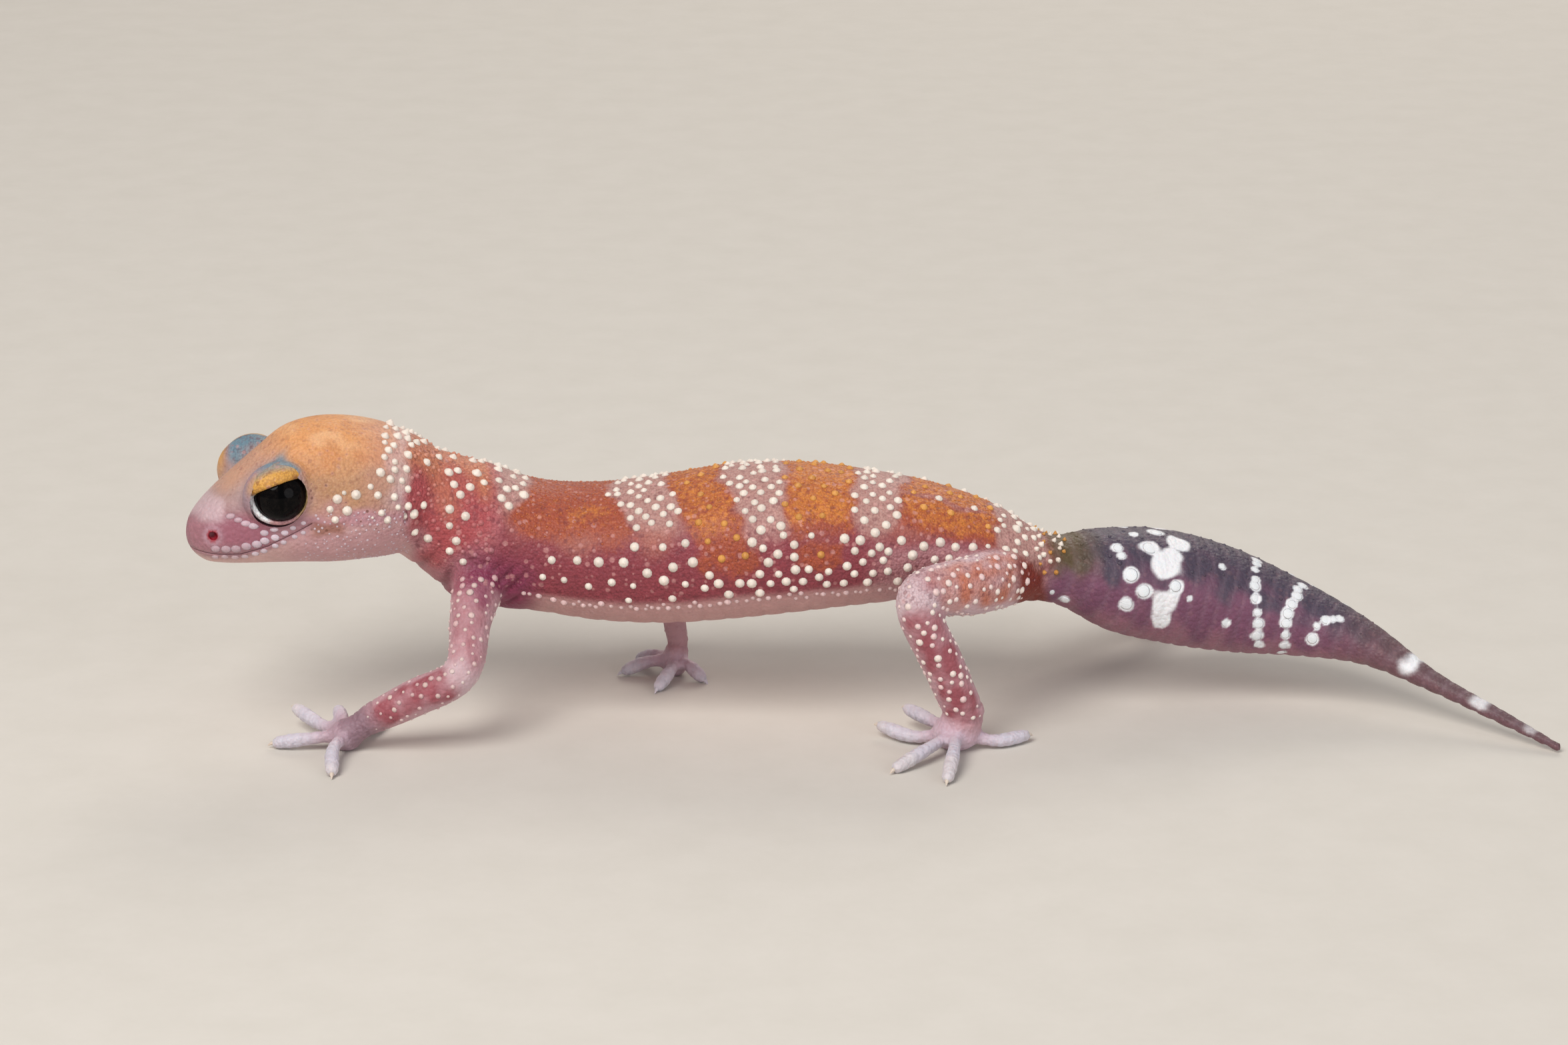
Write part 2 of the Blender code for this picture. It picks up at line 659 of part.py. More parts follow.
def spine_aims(first, last, arc, spacing=TUBERCLE_SPACING, scale=1.0):
    """Staggered rows of rays round the spine, from x to x, over an arc given in degrees."""
    aims = []
    low, high = arc
    count = max(1, round((last - first) / spacing))
    for i in range(count + 1):
        x = first + (last - first) * i / count
        _, y, z, wide, tall = spine_at(x)
        columns = max(2, round(math.radians(high - low) * (wide + tall) / 2 / spacing))
        for k in range(columns):
            angle = math.radians(low + (high - low) * (k + 0.25 + 0.5 * (i % 2)) / columns)
            size = scale * (1.0 + 0.15 * math.sin(3.1 * i + 5.3 * k))
            aims.append(((x, y, z), (0.0, -math.cos(angle), math.sin(angle)), size))
    return aims


def torso_aims():
    """Rays to the tubercles of the torso: whole bands, and flanks alone below the saddles."""
    aims = []
    for first, last in BANDS:
        aims += spine_aims(first, last, BAND_ARC)
    low, high = FLANK
    for (_, last), (first, _) in zip(BANDS, BANDS[1:]):
        for arc in ((low, high), (180 - high, 180 - low)):
            aims += spine_aims(last + TUBERCLE_SPACING, first - TUBERCLE_SPACING, arc)
    return aims


def limb_aims(name, first, last, rows, scale):
    """Staggered rows of rays round a stretch of a limb, on its outer and upper side."""
    path = [Vector(p[:3]) for p in LIMBS[name]]
    outward = Vector((0, 1.0 if name.startswith("right") else -1.0, LIMB_TILT))
    aims = []
    for i in range(rows):
        at = first + (last - first) * (i + 0.5) / rows
        k = int(at)
        here = path[k].lerp(path[k + 1], at - k)
        along = (path[k + 1] - path[k]).normalized()
        side = (outward - along * along.dot(outward)).normalized()
        lift = along.cross(side)
        for swing in LIMB_SWINGS[i % 2]:
            turn = math.radians(swing)
            aims.append((here, side * math.cos(turn) + lift * math.sin(turn), scale))
    return aims


def head_aims():
    """Rays to the tubercles of the cheeks and of the row over the nape."""
    start = head_point(0, 0, 0)
    aims = [(head_point(d, 0.0, z), head_point(0, side, 0) - start, HEAD_TUBERCLE)
            for side in (1, -1) for d, z in CHEEK]
    d, z, angles = NAPE
    for turn in (math.radians(a) for a in angles):
        aims.append((head_point(d, 0.0, z), head_point(0, math.cos(turn), math.sin(turn)) - start, HEAD_TUBERCLE))
    return aims


def add_tubercles(nodes, cutters):
    """Sets tubercles on each node that bears them."""
    plan = {
        "head": head_aims(),
        "neck": spine_aims(*NECK_ROWS),
        "torso": torso_aims(),
        "tail_base": spine_aims(*TAIL_BASE_ROWS),
        "tail_middle": spine_aims(*TAIL_MIDDLE_ROWS),
    }
    for name, (upper, lower, _) in LIMB_PARTS.items():
        plan[upper] = limb_aims(name, *UPPER_ROWS)
        plan[lower] = limb_aims(name, *LOWER_ROWS)
    graph = bpy.context.evaluated_depsgraph_get()
    trees = {name: BVHTree.FromObject(node, graph) for name, node in nodes.items()}
    for name, aims in plan.items():
        shapes = [tubercle(*where) for where in skin_points(name, trees, aims)]
        combine(nodes[name], shapes, "UNION", cutters)
        keep_largest(nodes[name])


def finish(nodes, cutters):
    """Gives flat soles, moves the model over the origin, and sets materials and shading."""
    for name, node in nodes.items():
        lowest = min(v.co.z for v in node.data.vertices)
        if lowest < 0:
            combine(node, [box(*GROUND)], "DIFFERENCE", cutters)
            keep_largest(node)
        node.data.transform(Matrix.Translation((-CENTRE_X * MM, -CENTRE_Y * MM, 0)))
        kind = next((key for key in COLOURS if key in name), "limb")
        material = bpy.data.materials.new(name + "_colour")
        material.use_nodes = True
        shader = material.node_tree.nodes["Principled BSDF"]
        shader.inputs["Base Color"].default_value = (*COLOURS[kind], 1.0)
        shader.inputs["Roughness"].default_value = EYE_ROUGHNESS if kind == "eye" else SKIN_ROUGHNESS
        shader.inputs["Metallic"].default_value = 0.0
        node.data.materials.clear()
        node.data.materials.append(material)
        node.data.shade_smooth()
        node.data.set_sharp_from_angle(angle=math.radians(40))


def main():
    clear_scene()
    collection = bpy.data.collections.new(MODEL_NAME)
    cutters = bpy.data.collections.new("cutters")
    for group in (collection, cutters):
        bpy.context.scene.collection.children.link(group)
    nodes = {}
    trunk = make_trunk(collection)
    for name in LIMBS:
        nodes.update(make_limb(name, grown_trunk(trunk), cutters, collection))
    nodes.update(part_trunk(trunk, cutters, collection))
    head = nodes["head"]
    combine(head, [form(side) for form in (eye_rim, eye_lid) for side in (1, -1)], "UNION", cutters)
    hollows = [mouth_cutter()]
    for side, name in ((1, "left_eye"), (-1, "right_eye")):
        ball = ellipsoid(eye_centre(side), (EYE_RADIUS,) * 3, 0.0, EYE_SEGMENTS)
        nodes[name] = add_object(name, ball, collection)
        hollows.append(ellipsoid(eye_centre(side), (EYE_RADIUS + SEAM,) * 3, 0.0, EYE_SEGMENTS))
        hollows += [hollow(*NOSTRIL, side), hollow(*EAR, side)]
    combine(head, hollows, "DIFFERENCE", cutters)
    keep_largest(head)
    add_tubercles(nodes, cutters)
    finish(nodes, cutters)


main()
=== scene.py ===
# %% [markdown]
# # A thick-tailed gecko
#
# This lesson dresses a life-size museum model of a gecko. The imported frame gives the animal's solid
# body in plain lengths: head, neck, torso, tail, limbs and eyes. Here one unbroken skin takes the
# place of all the lengths of flesh, and then come the eyelids, the glassy eyes, and some 2,700 raised
# scales. Sizes are in millimetres until the moment a mesh is made, because that is how a
# modeller measures so small an animal; Blender itself wants metres.

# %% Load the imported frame
import json
import math
from types import SimpleNamespace

import bmesh
import bpy
import numpy as np
from mathutils import Matrix, Vector
from mathutils.bvhtree import BVHTree

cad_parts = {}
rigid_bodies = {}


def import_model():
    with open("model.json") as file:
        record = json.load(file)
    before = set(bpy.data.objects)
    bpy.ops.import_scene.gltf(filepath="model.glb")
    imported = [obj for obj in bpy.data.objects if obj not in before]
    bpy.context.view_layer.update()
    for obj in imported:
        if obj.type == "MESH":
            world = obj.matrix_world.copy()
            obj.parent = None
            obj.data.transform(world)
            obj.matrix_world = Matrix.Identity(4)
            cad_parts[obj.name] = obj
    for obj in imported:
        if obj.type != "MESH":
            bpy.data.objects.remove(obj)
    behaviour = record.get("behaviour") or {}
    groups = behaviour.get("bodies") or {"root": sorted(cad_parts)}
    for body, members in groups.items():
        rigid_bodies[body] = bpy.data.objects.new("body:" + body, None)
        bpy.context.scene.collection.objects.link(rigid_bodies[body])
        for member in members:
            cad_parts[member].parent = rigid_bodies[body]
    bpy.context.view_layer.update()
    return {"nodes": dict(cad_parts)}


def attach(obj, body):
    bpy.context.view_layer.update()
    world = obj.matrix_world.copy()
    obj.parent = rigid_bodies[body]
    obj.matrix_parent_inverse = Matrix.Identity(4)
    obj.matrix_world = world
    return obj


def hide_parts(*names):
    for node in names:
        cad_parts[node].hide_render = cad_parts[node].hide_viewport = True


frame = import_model()
MM = 0.001
print("nodes in the frame:", len(frame["nodes"]))

# %% [markdown]
# ## Camera
# The animal was seen from its left side and a little above, through a long lens from about forty
# centimetres. A long lens keeps the far legs nearly as large as the near ones, which is why a short
# lens close up would spoil the likeness even with every form in its right place.

# %% Camera
CAMERA_TARGET = Vector((-8.26, -4.07, 18.39))
CAMERA_RISE = math.radians(18)
CAMERA_DISTANCE = 408.3
camera_data = bpy.data.cameras.new("camera")
camera_data.lens = 100.0
camera_data.sensor_width = 36.0
camera_data.clip_start = 0.02
camera_data.clip_end = 20.0
camera = bpy.data.objects.new("camera", camera_data)
back = Vector((0, -math.cos(CAMERA_RISE), math.sin(CAMERA_RISE)))
camera.location = (CAMERA_TARGET + back * CAMERA_DISTANCE) * MM
camera.rotation_euler = (math.pi / 2 - CAMERA_RISE, 0, 0)
bpy.context.scene.collection.objects.link(camera)
bpy.context.scene.camera = camera
print("camera stands", round(CAMERA_DISTANCE), "mm away")

# %% [markdown]
# ## Light
# Skin this moist and finely grained needs large, soft lamps: a small lamp would put a hard glint on
# each grain and hide the colour. One big lamp above the near shoulder does most of the work, a weaker
# one fills the side towards the tail, and a third from behind draws a thin light edge along the back.

# %% Lamps and sky
LAMPS = {
    "key": {"place": (-0.30, -0.45, 0.62), "size": 0.5, "power": 4.9, "colour": (1.0, 0.97, 0.92)},
    "fill": {"place": (0.55, -0.55, 0.25), "size": 0.6, "power": 1.6, "colour": (0.93, 0.96, 1.0)},
    "edge": {"place": (0.15, 0.65, 0.5), "size": 0.45, "power": 1.8, "colour": (1.0, 0.94, 0.86)},
}
for lamp_name, facts in LAMPS.items():
    lamp_data = bpy.data.lights.new(lamp_name, "AREA")
    lamp_data.shape = "DISK"
    lamp_data.size = facts["size"]
    lamp_data.energy = facts["power"]
    lamp_data.color = facts["colour"]
    lamp = bpy.data.objects.new(lamp_name, lamp_data)
    lamp.location = facts["place"]
    lamp.rotation_euler = (CAMERA_TARGET * MM - lamp.location).to_track_quat("-Z", "Y").to_euler()
    bpy.context.scene.collection.objects.link(lamp)
sky = bpy.data.worlds.new("sky")
sky.use_nodes = True
sky.node_tree.nodes["Background"].inputs["Color"].default_value = (0.94, 0.93, 0.95, 1.0)
sky.node_tree.nodes["Background"].inputs["Strength"].default_value = 0.36
bpy.context.scene.world = sky
bpy.context.scene.view_settings.view_transform = "Standard"
print("lamps:", ", ".join(LAMPS))

# %% [markdown]
# ## Named sizes of the body
# The same numbers that drive the solids drive the skin, so the two lie on each other. The spine is a
# row of ovals from inside the head to the tip of the tail, the head a row of sections in a frame of
# its own that is turned to the animal's left, and each limb a chain of joints.

# %% Named sizes of the body
# Where the middle of the model's box lies before it is moved onto the origin
CENTRE = Vector((-0.18, 4.07, 0.0))
# Spine: x, y, z, half width, half height
SPINE = [
    (-45.5, -1.4, 21.6, 4.6, 4.8), (-42.4, -0.6, 20.1, 5.5, 6.0), (-39.4, 0.1, 18.1, 6.2, 6.9),
    (-36.0, 0.6, 17.1, 6.8, 6.7), (-32.0, 0.9, 16.1, 7.1, 6.1), (-25.8, 1.0, 15.4, 7.7, 6.3),
    (-19.5, 0.9, 15.7, 8.2, 6.8), (-13.2, 0.7, 16.5, 8.5, 7.1), (-6.9, 0.4, 17.0, 8.4, 6.8),
    (-0.7, 0.1, 17.1, 7.6, 6.1), (5.6, 0.0, 16.8, 6.5, 5.2), (11.9, 0.0, 15.4, 5.3, 4.3),
    (16.6, 0.6, 13.7, 3.9, 3.2), (21.4, 1.8, 12.3, 5.2, 4.7), (27.7, 3.4, 11.0, 5.9, 5.4),
    (34.1, 3.9, 9.5, 5.5, 4.9), (40.4, 2.8, 8.0, 4.2, 3.5), (46.6, -0.1, 6.5, 2.5, 2.0),
    (52.6, -4.1, 4.0, 1.15, 0.95), (58.3, -8.4, 2.1, 0.75, 0.65), (63.2, -12.4, 0.5, 0.4, 0.4),
]
# Powers of the superellipses that round the back, the belly and the head
BACK_POWER, BELLY_POWER, HEAD_POWER = 2.0, 2.3, 2.15
# The head's frame: d runs back from the snout, e to the animal's left
SNOUT_X, SNOUT_Y, HEAD_YAW = -63.3, -8.0, math.radians(22)
# Head: d, half width, top, bottom, height of the widest level
HEAD = [
    (0.0, 0.5, 20.5, 19.2, 19.8), (0.5, 1.75, 21.6, 18.2, 19.7), (1.4, 2.75, 22.7, 17.4, 19.6),
    (3.0, 3.7, 24.1, 17.0, 19.8), (5.0, 4.5, 25.6, 16.8, 20.1), (7.5, 5.2, 27.4, 16.6, 20.5),
    (10.0, 6.1, 29.0, 16.4, 21.0), (13.0, 7.0, 29.5, 16.1, 21.6), (16.0, 7.4, 29.2, 16.05, 22.0),
    (19.0, 7.0, 28.4, 16.1, 21.9), (21.5, 6.2, 27.2, 16.6, 21.4), (24.0, 5.0, 25.6, 16.8, 20.8),
]
# Limbs: x, y, z and radius at each joint, out to the middle of the palm or sole
LIMBS = {
    "left_arm": [(-36.6, -3.0, 15.2, 2.9), (-37.4, -8.0, 11.6, 2.0), (-38.3, -11.6, 7.4, 1.7),
                 (-42.4, -11.9, 5.3, 1.75), (-46.4, -11.4, 3.1, 1.5), (-48.9, -11.2, 1.4, 1.3)],
    "right_arm": [(-31.6, 3.6, 14.6, 2.9), (-26.4, 9.4, 12.6, 2.0), (-21.0, 11.2, 10.6, 1.6),
                  (-19.4, 10.4, 6.6, 1.2), (-18.7, 9.4, 3.2, 1.05), (-19.0, 8.9, 1.4, 1.1)],
    "left_leg": [(13.0, -2.6, 14.4, 3.0), (8.8, -7.8, 14.8, 2.75), (3.9, -11.4, 14.8, 2.1),
                 (6.3, -11.6, 8.2, 1.95), (8.3, -11.0, 3.4, 1.85), (7.5, -10.9, 1.5, 1.85)],
    "right_leg": [(13.0, 2.6, 13.6, 3.0), (15.8, 8.6, 11.8, 2.5), (19.4, 13.7, 9.8, 1.95),
                  (24.0, 17.0, 6.4, 1.8), (28.6, 19.7, 3.2, 1.55), (29.6, 21.5, 1.5, 1.6)],
}
# Digits: the tip's place, how far the middle is lifted, and how far it sweeps to the side
DIGITS = {
    "left_arm": [(-46.2, -6.6, 0.6, 0.4, 0.0), (-50.0, -7.0, 2.2, 0.3, 0.0), (-54.0, -5.8, 1.9, -0.3, 0.0),
                 (-55.3, -11.2, 0.6, 0.1, -0.3), (-49.6, -18.3, 0.55, 0.4, 0.5)],
    "right_arm": [(-23.7, 8.5, 0.6, 0.4, 0.0), (-22.4, 11.6, 0.7, 0.4, 0.0), (-20.4, 4.2, 0.55, 0.4, -0.4),
                  (-16.4, 6.6, 0.55, 0.5, 0.2), (-18.7, 13.4, 0.6, 0.5, 0.0)],
    "left_leg": [(3.2, -5.8, 1.9, 0.0, 0.0), (0.7, -8.2, 1.1, -0.5, -0.7), (1.9, -17.4, 0.55, 0.3, -0.4),
                 (6.4, -20.0, 0.55, 0.5, -0.2), (13.9, -9.6, 0.7, -0.3, 1.0)],
    "right_leg": [(26.6, 25.4, 0.55, 0.4, 0.3), (29.2, 27.8, 0.55, 0.5, 0.3), (33.0, 28.2, 0.55, 0.5, 0.0),
                  (36.8, 25.2, 0.55, 0.5, 0.0), (36.7, 20.2, 0.55, 0.3, -0.5)],
}
DIGIT_RADII = (0.8, 0.68, 0.6, 0.62, 0.7, 0.72, 0.62)
DIGIT_BEND, DIGIT_STATIONS = 0.55, 19
PALM_TUBE, PALM_PAD, PALM_FLATNESS, TREAD = 1.08, 1.22, 0.9, 0.15
# Eyes: how far back and out their centres lie, their height, radius and gaze
EYE_D, EYE_E, EYE_Z, EYE_RADIUS = 7.7, 4.4, 24.1, 2.55
# The right eye looks further back than the left, each in d, e and z
EYE_GAZES = {1: (-0.2, 1.0, 0.22), -1: (0.32, 1.0, 0.1)}
ORBIT_E, ORBIT_SIZE = 4.5, (3.5, 2.2, 3.15)
# The upper lid's edge is a plane: its height over the eye's centre, its rise backwards and outwards
LID_LINE, LID_RISE_BACK, LID_RISE_OUT = 0.68, 0.24, 0.5
# The line of the mouth, d and z, from the snout to its corner
MOUTH = [(0.0, 18.75), (2.0, 18.55), (4.0, 18.6), (6.3, 19.35), (8.4, 20.45), (10.2, 21.5)]
# Hollows of the nostril and the ear: d, e, z and half sizes
NOSTRIL = ((1.75, 2.75, 20.35), (0.42, 0.62, 0.4))
EAR = ((18.9, 7.15, 21.2), (0.32, 0.6, 0.8))
print("spine rows:", len(SPINE), " head sections:", len(HEAD), " limbs:", len(LIMBS))

# %% [markdown]
# ## Lofts and tubes
# A few small helpers draw every form of flesh. A smooth curve runs through the rows of named sizes, an
# oval with a chosen power is set at each station, and the ovals are joined to a closed skin. Powers
# above two square an oval slightly, as on the belly, which sags flat under its own weight.


# %% Lofts and tubes
def smooth_rows(rows, count):
    """Runs a smooth curve through the rows and returns count rows along it."""
    rows = np.array(rows, dtype=float)
    steps = np.linalg.norm(np.diff(rows[:, :3], axis=0), axis=1)
    at = np.concatenate([[0.0], np.cumsum(steps)])
    slopes = np.gradient(rows, at, axis=0)
    where = np.linspace(0.0, at[-1], count)
    span = np.clip(np.searchsorted(at, where, side="right") - 1, 0, len(at) - 2)
    width = at[span + 1] - at[span]
    t = ((where - at[span]) / width)[:, None]
    width = width[:, None]
    return ((2 * t ** 3 - 3 * t ** 2 + 1) * rows[span] + (t ** 3 - 2 * t ** 2 + t) * width * slopes[span]
            + (3 * t ** 2 - 2 * t ** 3) * rows[span + 1] + (t ** 3 - t ** 2) * width * slopes[span + 1])


def rounded(angle, power):
    """A point of the unit superellipse, whose power of 2 is a circle."""
    c, s = math.cos(angle), math.sin(angle)
    return math.copysign(abs(c) ** (2 / power), c), math.copysign(abs(s) ** (2 / power), s)


def head_point(d, e, z):
    """A point of the head's frame, in the model's frame."""
    c, s = math.cos(HEAD_YAW), math.sin(HEAD_YAW)
    return Vector((SNOUT_X + d * c + e * s, SNOUT_Y + d * s - e * c, z))


def loft(rings):
    """A closed mesh through rings of equally many points, in millimetres."""
    shape = bmesh.new()
    rows = [[shape.verts.new(Vector(p) * MM) for p in ring] for ring in rings]
    size = len(rows[0])
    for first, second in zip(rows, rows[1:]):
        for i in range(size):
            j = (i + 1) % size
            shape.faces.new((first[i], first[j], second[j], second[i]))
    shape.faces.new(rows[0])
    shape.faces.new(rows[-1])
    bmesh.ops.recalc_face_normals(shape, faces=shape.faces)
    return shape


def spine_rings(sides=48, count=220):
    """Upright oval rings along the spine, flatter under the belly."""
    rows = smooth_rows(SPINE, count)
    heading = np.gradient(rows[:, :2], axis=0)
    rings = []
    for (x, y, z, wide, high), (hx, hy) in zip(rows, heading):
        long = math.hypot(hx, hy)
        side = (-hy / long, hx / long)
        ring = []
        for i in range(sides):
            angle = 2 * math.pi * i / sides
            u, v = rounded(angle, BACK_POWER if math.sin(angle) > 0 else BELLY_POWER)
            ring.append((x + side[0] * wide * u, y + side[1] * wide * u, z + high * v))
        rings.append(ring)
    return rings


def head_rings(sides=56, count=80):
    """Rings of the head, from the snout to inside the neck."""
    rings = []
    for d, wide, top, bottom, level in smooth_rows(HEAD, count):
        ring = []
        for i in range(sides):
            u, v = rounded(2 * math.pi * i / sides, HEAD_POWER)
            height = level + v * (top - level if v > 0 else level - bottom)
            ring.append(head_point(d, wide * u, height))
        rings.append(ring)
    return rings


def tube_rings(path, radii, flatness=1.0, sides=20, cap=5):
    """Rings of a tapered tube with round ends; flatness squeezes it in height."""
    path = [Vector(p) for p in path]
    last = len(path) - 1
    tangents = [(path[min(i + 1, last)] - path[max(i - 1, 0)]).normalized() for i in range(last + 1)]
    stops = list(zip(path, tangents, radii))
    for end, way in ((0, -1), (last, 1)):
        along, radius = tangents[end], radii[end]
        for k in reversed(range(cap)):
            swing = math.pi / 2 * (k + 0.35) / (cap + 0.35)
            spot = path[end] + along * radius * math.cos(swing) * way
            stops.insert(0 if way < 0 else len(stops), (spot, along, radius * math.sin(swing)))
    rings = []
    side = tangents[0].cross(Vector((0, 0, 1))).normalized()
    for centre, along, radius in stops:
        side = (side - along * side.dot(along)).normalized()
        rise = side.cross(along)
        ring = []
        for i in range(sides):
            angle = 2 * math.pi * i / sides
            point = side * math.cos(angle) + rise * math.sin(angle)
            point.z *= flatness
            ring.append(centre + point * radius)
        rings.append(ring)
    return rings


def ellipsoid(centre, size, turn, segments=32):
    """A round lump of the given half sizes, turned about the upright axis."""
    shape = bmesh.new()
    bmesh.ops.create_uvsphere(shape, u_segments=segments, v_segments=segments // 2, radius=1.0)
    place = Matrix.Translation(Vector(centre) * MM) @ Matrix.Rotation(turn, 4, "Z")
    shape.transform(place @ Matrix.Diagonal((*[s * MM for s in size], 1.0)))
    return shape


def digit_path(palm, digit):
    """The middle line of a digit, from the palm to its tip."""
    x, y, z, lift, sweep = digit
    tip = Vector((x, y, z))
    along = (tip - palm).normalized()
    middle = palm.lerp(tip, DIGIT_BEND) + Vector((along.y, -along.x, 0)) * sweep
    middle.z = (palm.z + z) / 2 + lift
    return smooth_rows([palm, middle, tip], DIGIT_STATIONS)


def limb_shapes(name):
    """A limb's tube, its palm and its digits."""
    points = [Vector(p[:3]) for p in LIMBS[name]]
    rows = smooth_rows(LIMBS[name][:5], 40)
    shapes = [loft(tube_rings([r[:3] for r in rows], rows[:, 3]))]
    wrist, palm = points[4], points[5]
    thick, wide = LIMBS[name][4][3], LIMBS[name][5][3]
    path = [wrist, wrist.lerp(palm, 0.5), palm]
    shapes.append(loft(tube_rings(path, [thick, wide * PALM_TUBE, wide], PALM_FLATNESS)))
    shapes.append(ellipsoid(palm, (wide * PALM_PAD, wide * PALM_PAD, palm.z + TREAD), 0.0))
    stations = np.linspace(0, 1, DIGIT_STATIONS)
    radii = np.interp(stations, np.linspace(0, 1, len(DIGIT_RADII)), DIGIT_RADII)
    for digit in DIGITS[name]:
        shapes.append(loft(tube_rings(digit_path(palm, digit), radii, sides=14, cap=4)))
    return shapes


print("forms ready")

# %% [markdown]
# ## Fusing the skin
# On the animal the skin runs from lip to tail without a seam. The forms above overlap roughly, so they
# are melted together: a voxel remesh replaces them by the surface of their union, and a little
# smoothing rounds the joints as flesh does. Sculpting by hand would give the same, but would not follow
# when a named size changes.

# %% Fuse the skin
SKIN_VOXEL = 0.29
SKIN_SMOOTHING = 3


def add_object(name, shape):
    """Makes an object of a bmesh and frees the bmesh."""
    mesh = bpy.data.meshes.new(name)
    shape.to_mesh(mesh)
    shape.free()
    made = bpy.data.objects.new(name, mesh)
    bpy.context.scene.collection.objects.link(made)
    return made


def add_modifier(target, kind, settings):
    """Adds a modifier with its settings."""
    made = target.modifiers.new(kind.title(), kind)
    for key, value in settings.items():
        setattr(made, key, value)
    return made


def apply_modifiers(target):
    """Replaces an object's mesh by what its modifiers make of it."""
    bpy.context.view_layer.update()
    result = bpy.data.meshes.new_from_object(target.evaluated_get(bpy.context.evaluated_depsgraph_get()))
    target.modifiers.clear()
    target.data = result


def islands(shape):
    """The separate closed surfaces of a bmesh, each as a set of faces."""
    left = set(shape.faces)
    found = []
    while left:
        edge = [left.pop()]
        island = set(edge)
        while edge:
            face = edge.pop()
            for near in (other for side in face.edges for other in side.link_faces):
                if near in left:
                    left.discard(near)
                    island.add(near)
                    edge.append(near)
        found.append(island)
    return found


def keep_largest(target):
    """Drops all but an object's largest closed surface, which also fills sealed hollows."""
    shape = bmesh.new()
    shape.from_mesh(target.data)
    found = sorted(islands(shape), key=len)
    loose = [face for island in found[:-1] for face in island]
    bmesh.ops.delete(shape, geom=loose, context="FACES")
    shape.to_mesh(target.data)
    shape.free()


def merged(shapes):
    """Several bmeshes in one, which stay loose from each other."""
    whole = bmesh.new()
    for shape in shapes:
        part = bpy.data.meshes.new("part")
        shape.to_mesh(part)
        shape.free()
        whole.from_mesh(part)
        bpy.data.meshes.remove(part)
    return whole


flesh = [loft(spine_rings()), loft(head_rings())]
flesh += [ellipsoid(head_point(EYE_D, side * ORBIT_E, EYE_Z), ORBIT_SIZE, HEAD_YAW) for side in (1, -1)]
for limb_name in LIMBS:
    flesh += limb_shapes(limb_name)
skin = add_object("skin", merged(flesh))
add_modifier(skin, "REMESH", {"mode": "VOXEL", "voxel_size": SKIN_VOXEL * MM, "adaptivity": 0.0})
add_modifier(skin, "SMOOTH", {"factor": 0.5, "iterations": SKIN_SMOOTHING})
apply_modifiers(skin)
keep_largest(skin)
print("skin:", len(skin.data.polygons), "faces")

# %% [markdown]
# ## Finding one's way on the skin
# Markings, folds and scales all need to know where a point lies on the animal: how far along the
# spine, how far round the body, where on the head, how far down a limb. These functions answer for
# many points at once, as a map's grid does for a coast.

# %% Body coordinates
SPINE_ROWS = smooth_rows(SPINE, 500)
SPINE_HEADING = np.gradient(SPINE_ROWS[:, :3], axis=0)
SPINE_HEADING /= np.linalg.norm(SPINE_HEADING, axis=1, keepdims=True)
LIMB_ROWS = {name: smooth_rows(joints, 90) for name, joints in LIMBS.items()}
# A toe's mean radius, the length of foot that counts as one more joint, and how far a limb's outer side
# is turned up
TOE_RADIUS, FOOT_LENGTH, OUTER_RISE = 0.65, 8, 0.35


def nearest_row(points, rows):
    """For each point, the index of the nearest row's place and how far it is."""
    spots = rows[:, :3]
    level = (spots ** 2).sum(1)
    index = np.concatenate([(level - 2 * part @ spots.T).argmin(1) for part in np.array_split(points, 8)])
    return index, np.linalg.norm(points - spots[index], axis=1)


def step(value, low, high):
    """A smooth rise from 0 at low to 1 at high."""
    t = np.clip((value - low) / (high - low), 0.0, 1.0)
    return t * t * (3 - 2 * t)


def within(value, low, high, soft):
    """1 between low and high, with edges that fade over a width."""
    return step(value, low - soft, low + soft) * (1 - step(value, high - soft, high + soft))


def ripple(points, size, seed):
    """Smooth random waves of about one size in millimetres, from -1 to 1."""
    rng = np.random.default_rng(seed)
    total = np.zeros(len(points))
    for _ in range(7):
        wave = rng.normal(size=3)
        wave *= 2 * math.pi / (np.linalg.norm(wave) * size * rng.uniform(0.7, 1.5))
        total += np.sin(points @ wave + rng.uniform(0, 2 * math.pi))
    return total / 3.5


def outwards(name):
    """The direction from a limb to the side and a little up."""
    return 0.0, 1.0 if name.startswith("right") else -1.0, OUTER_RISE


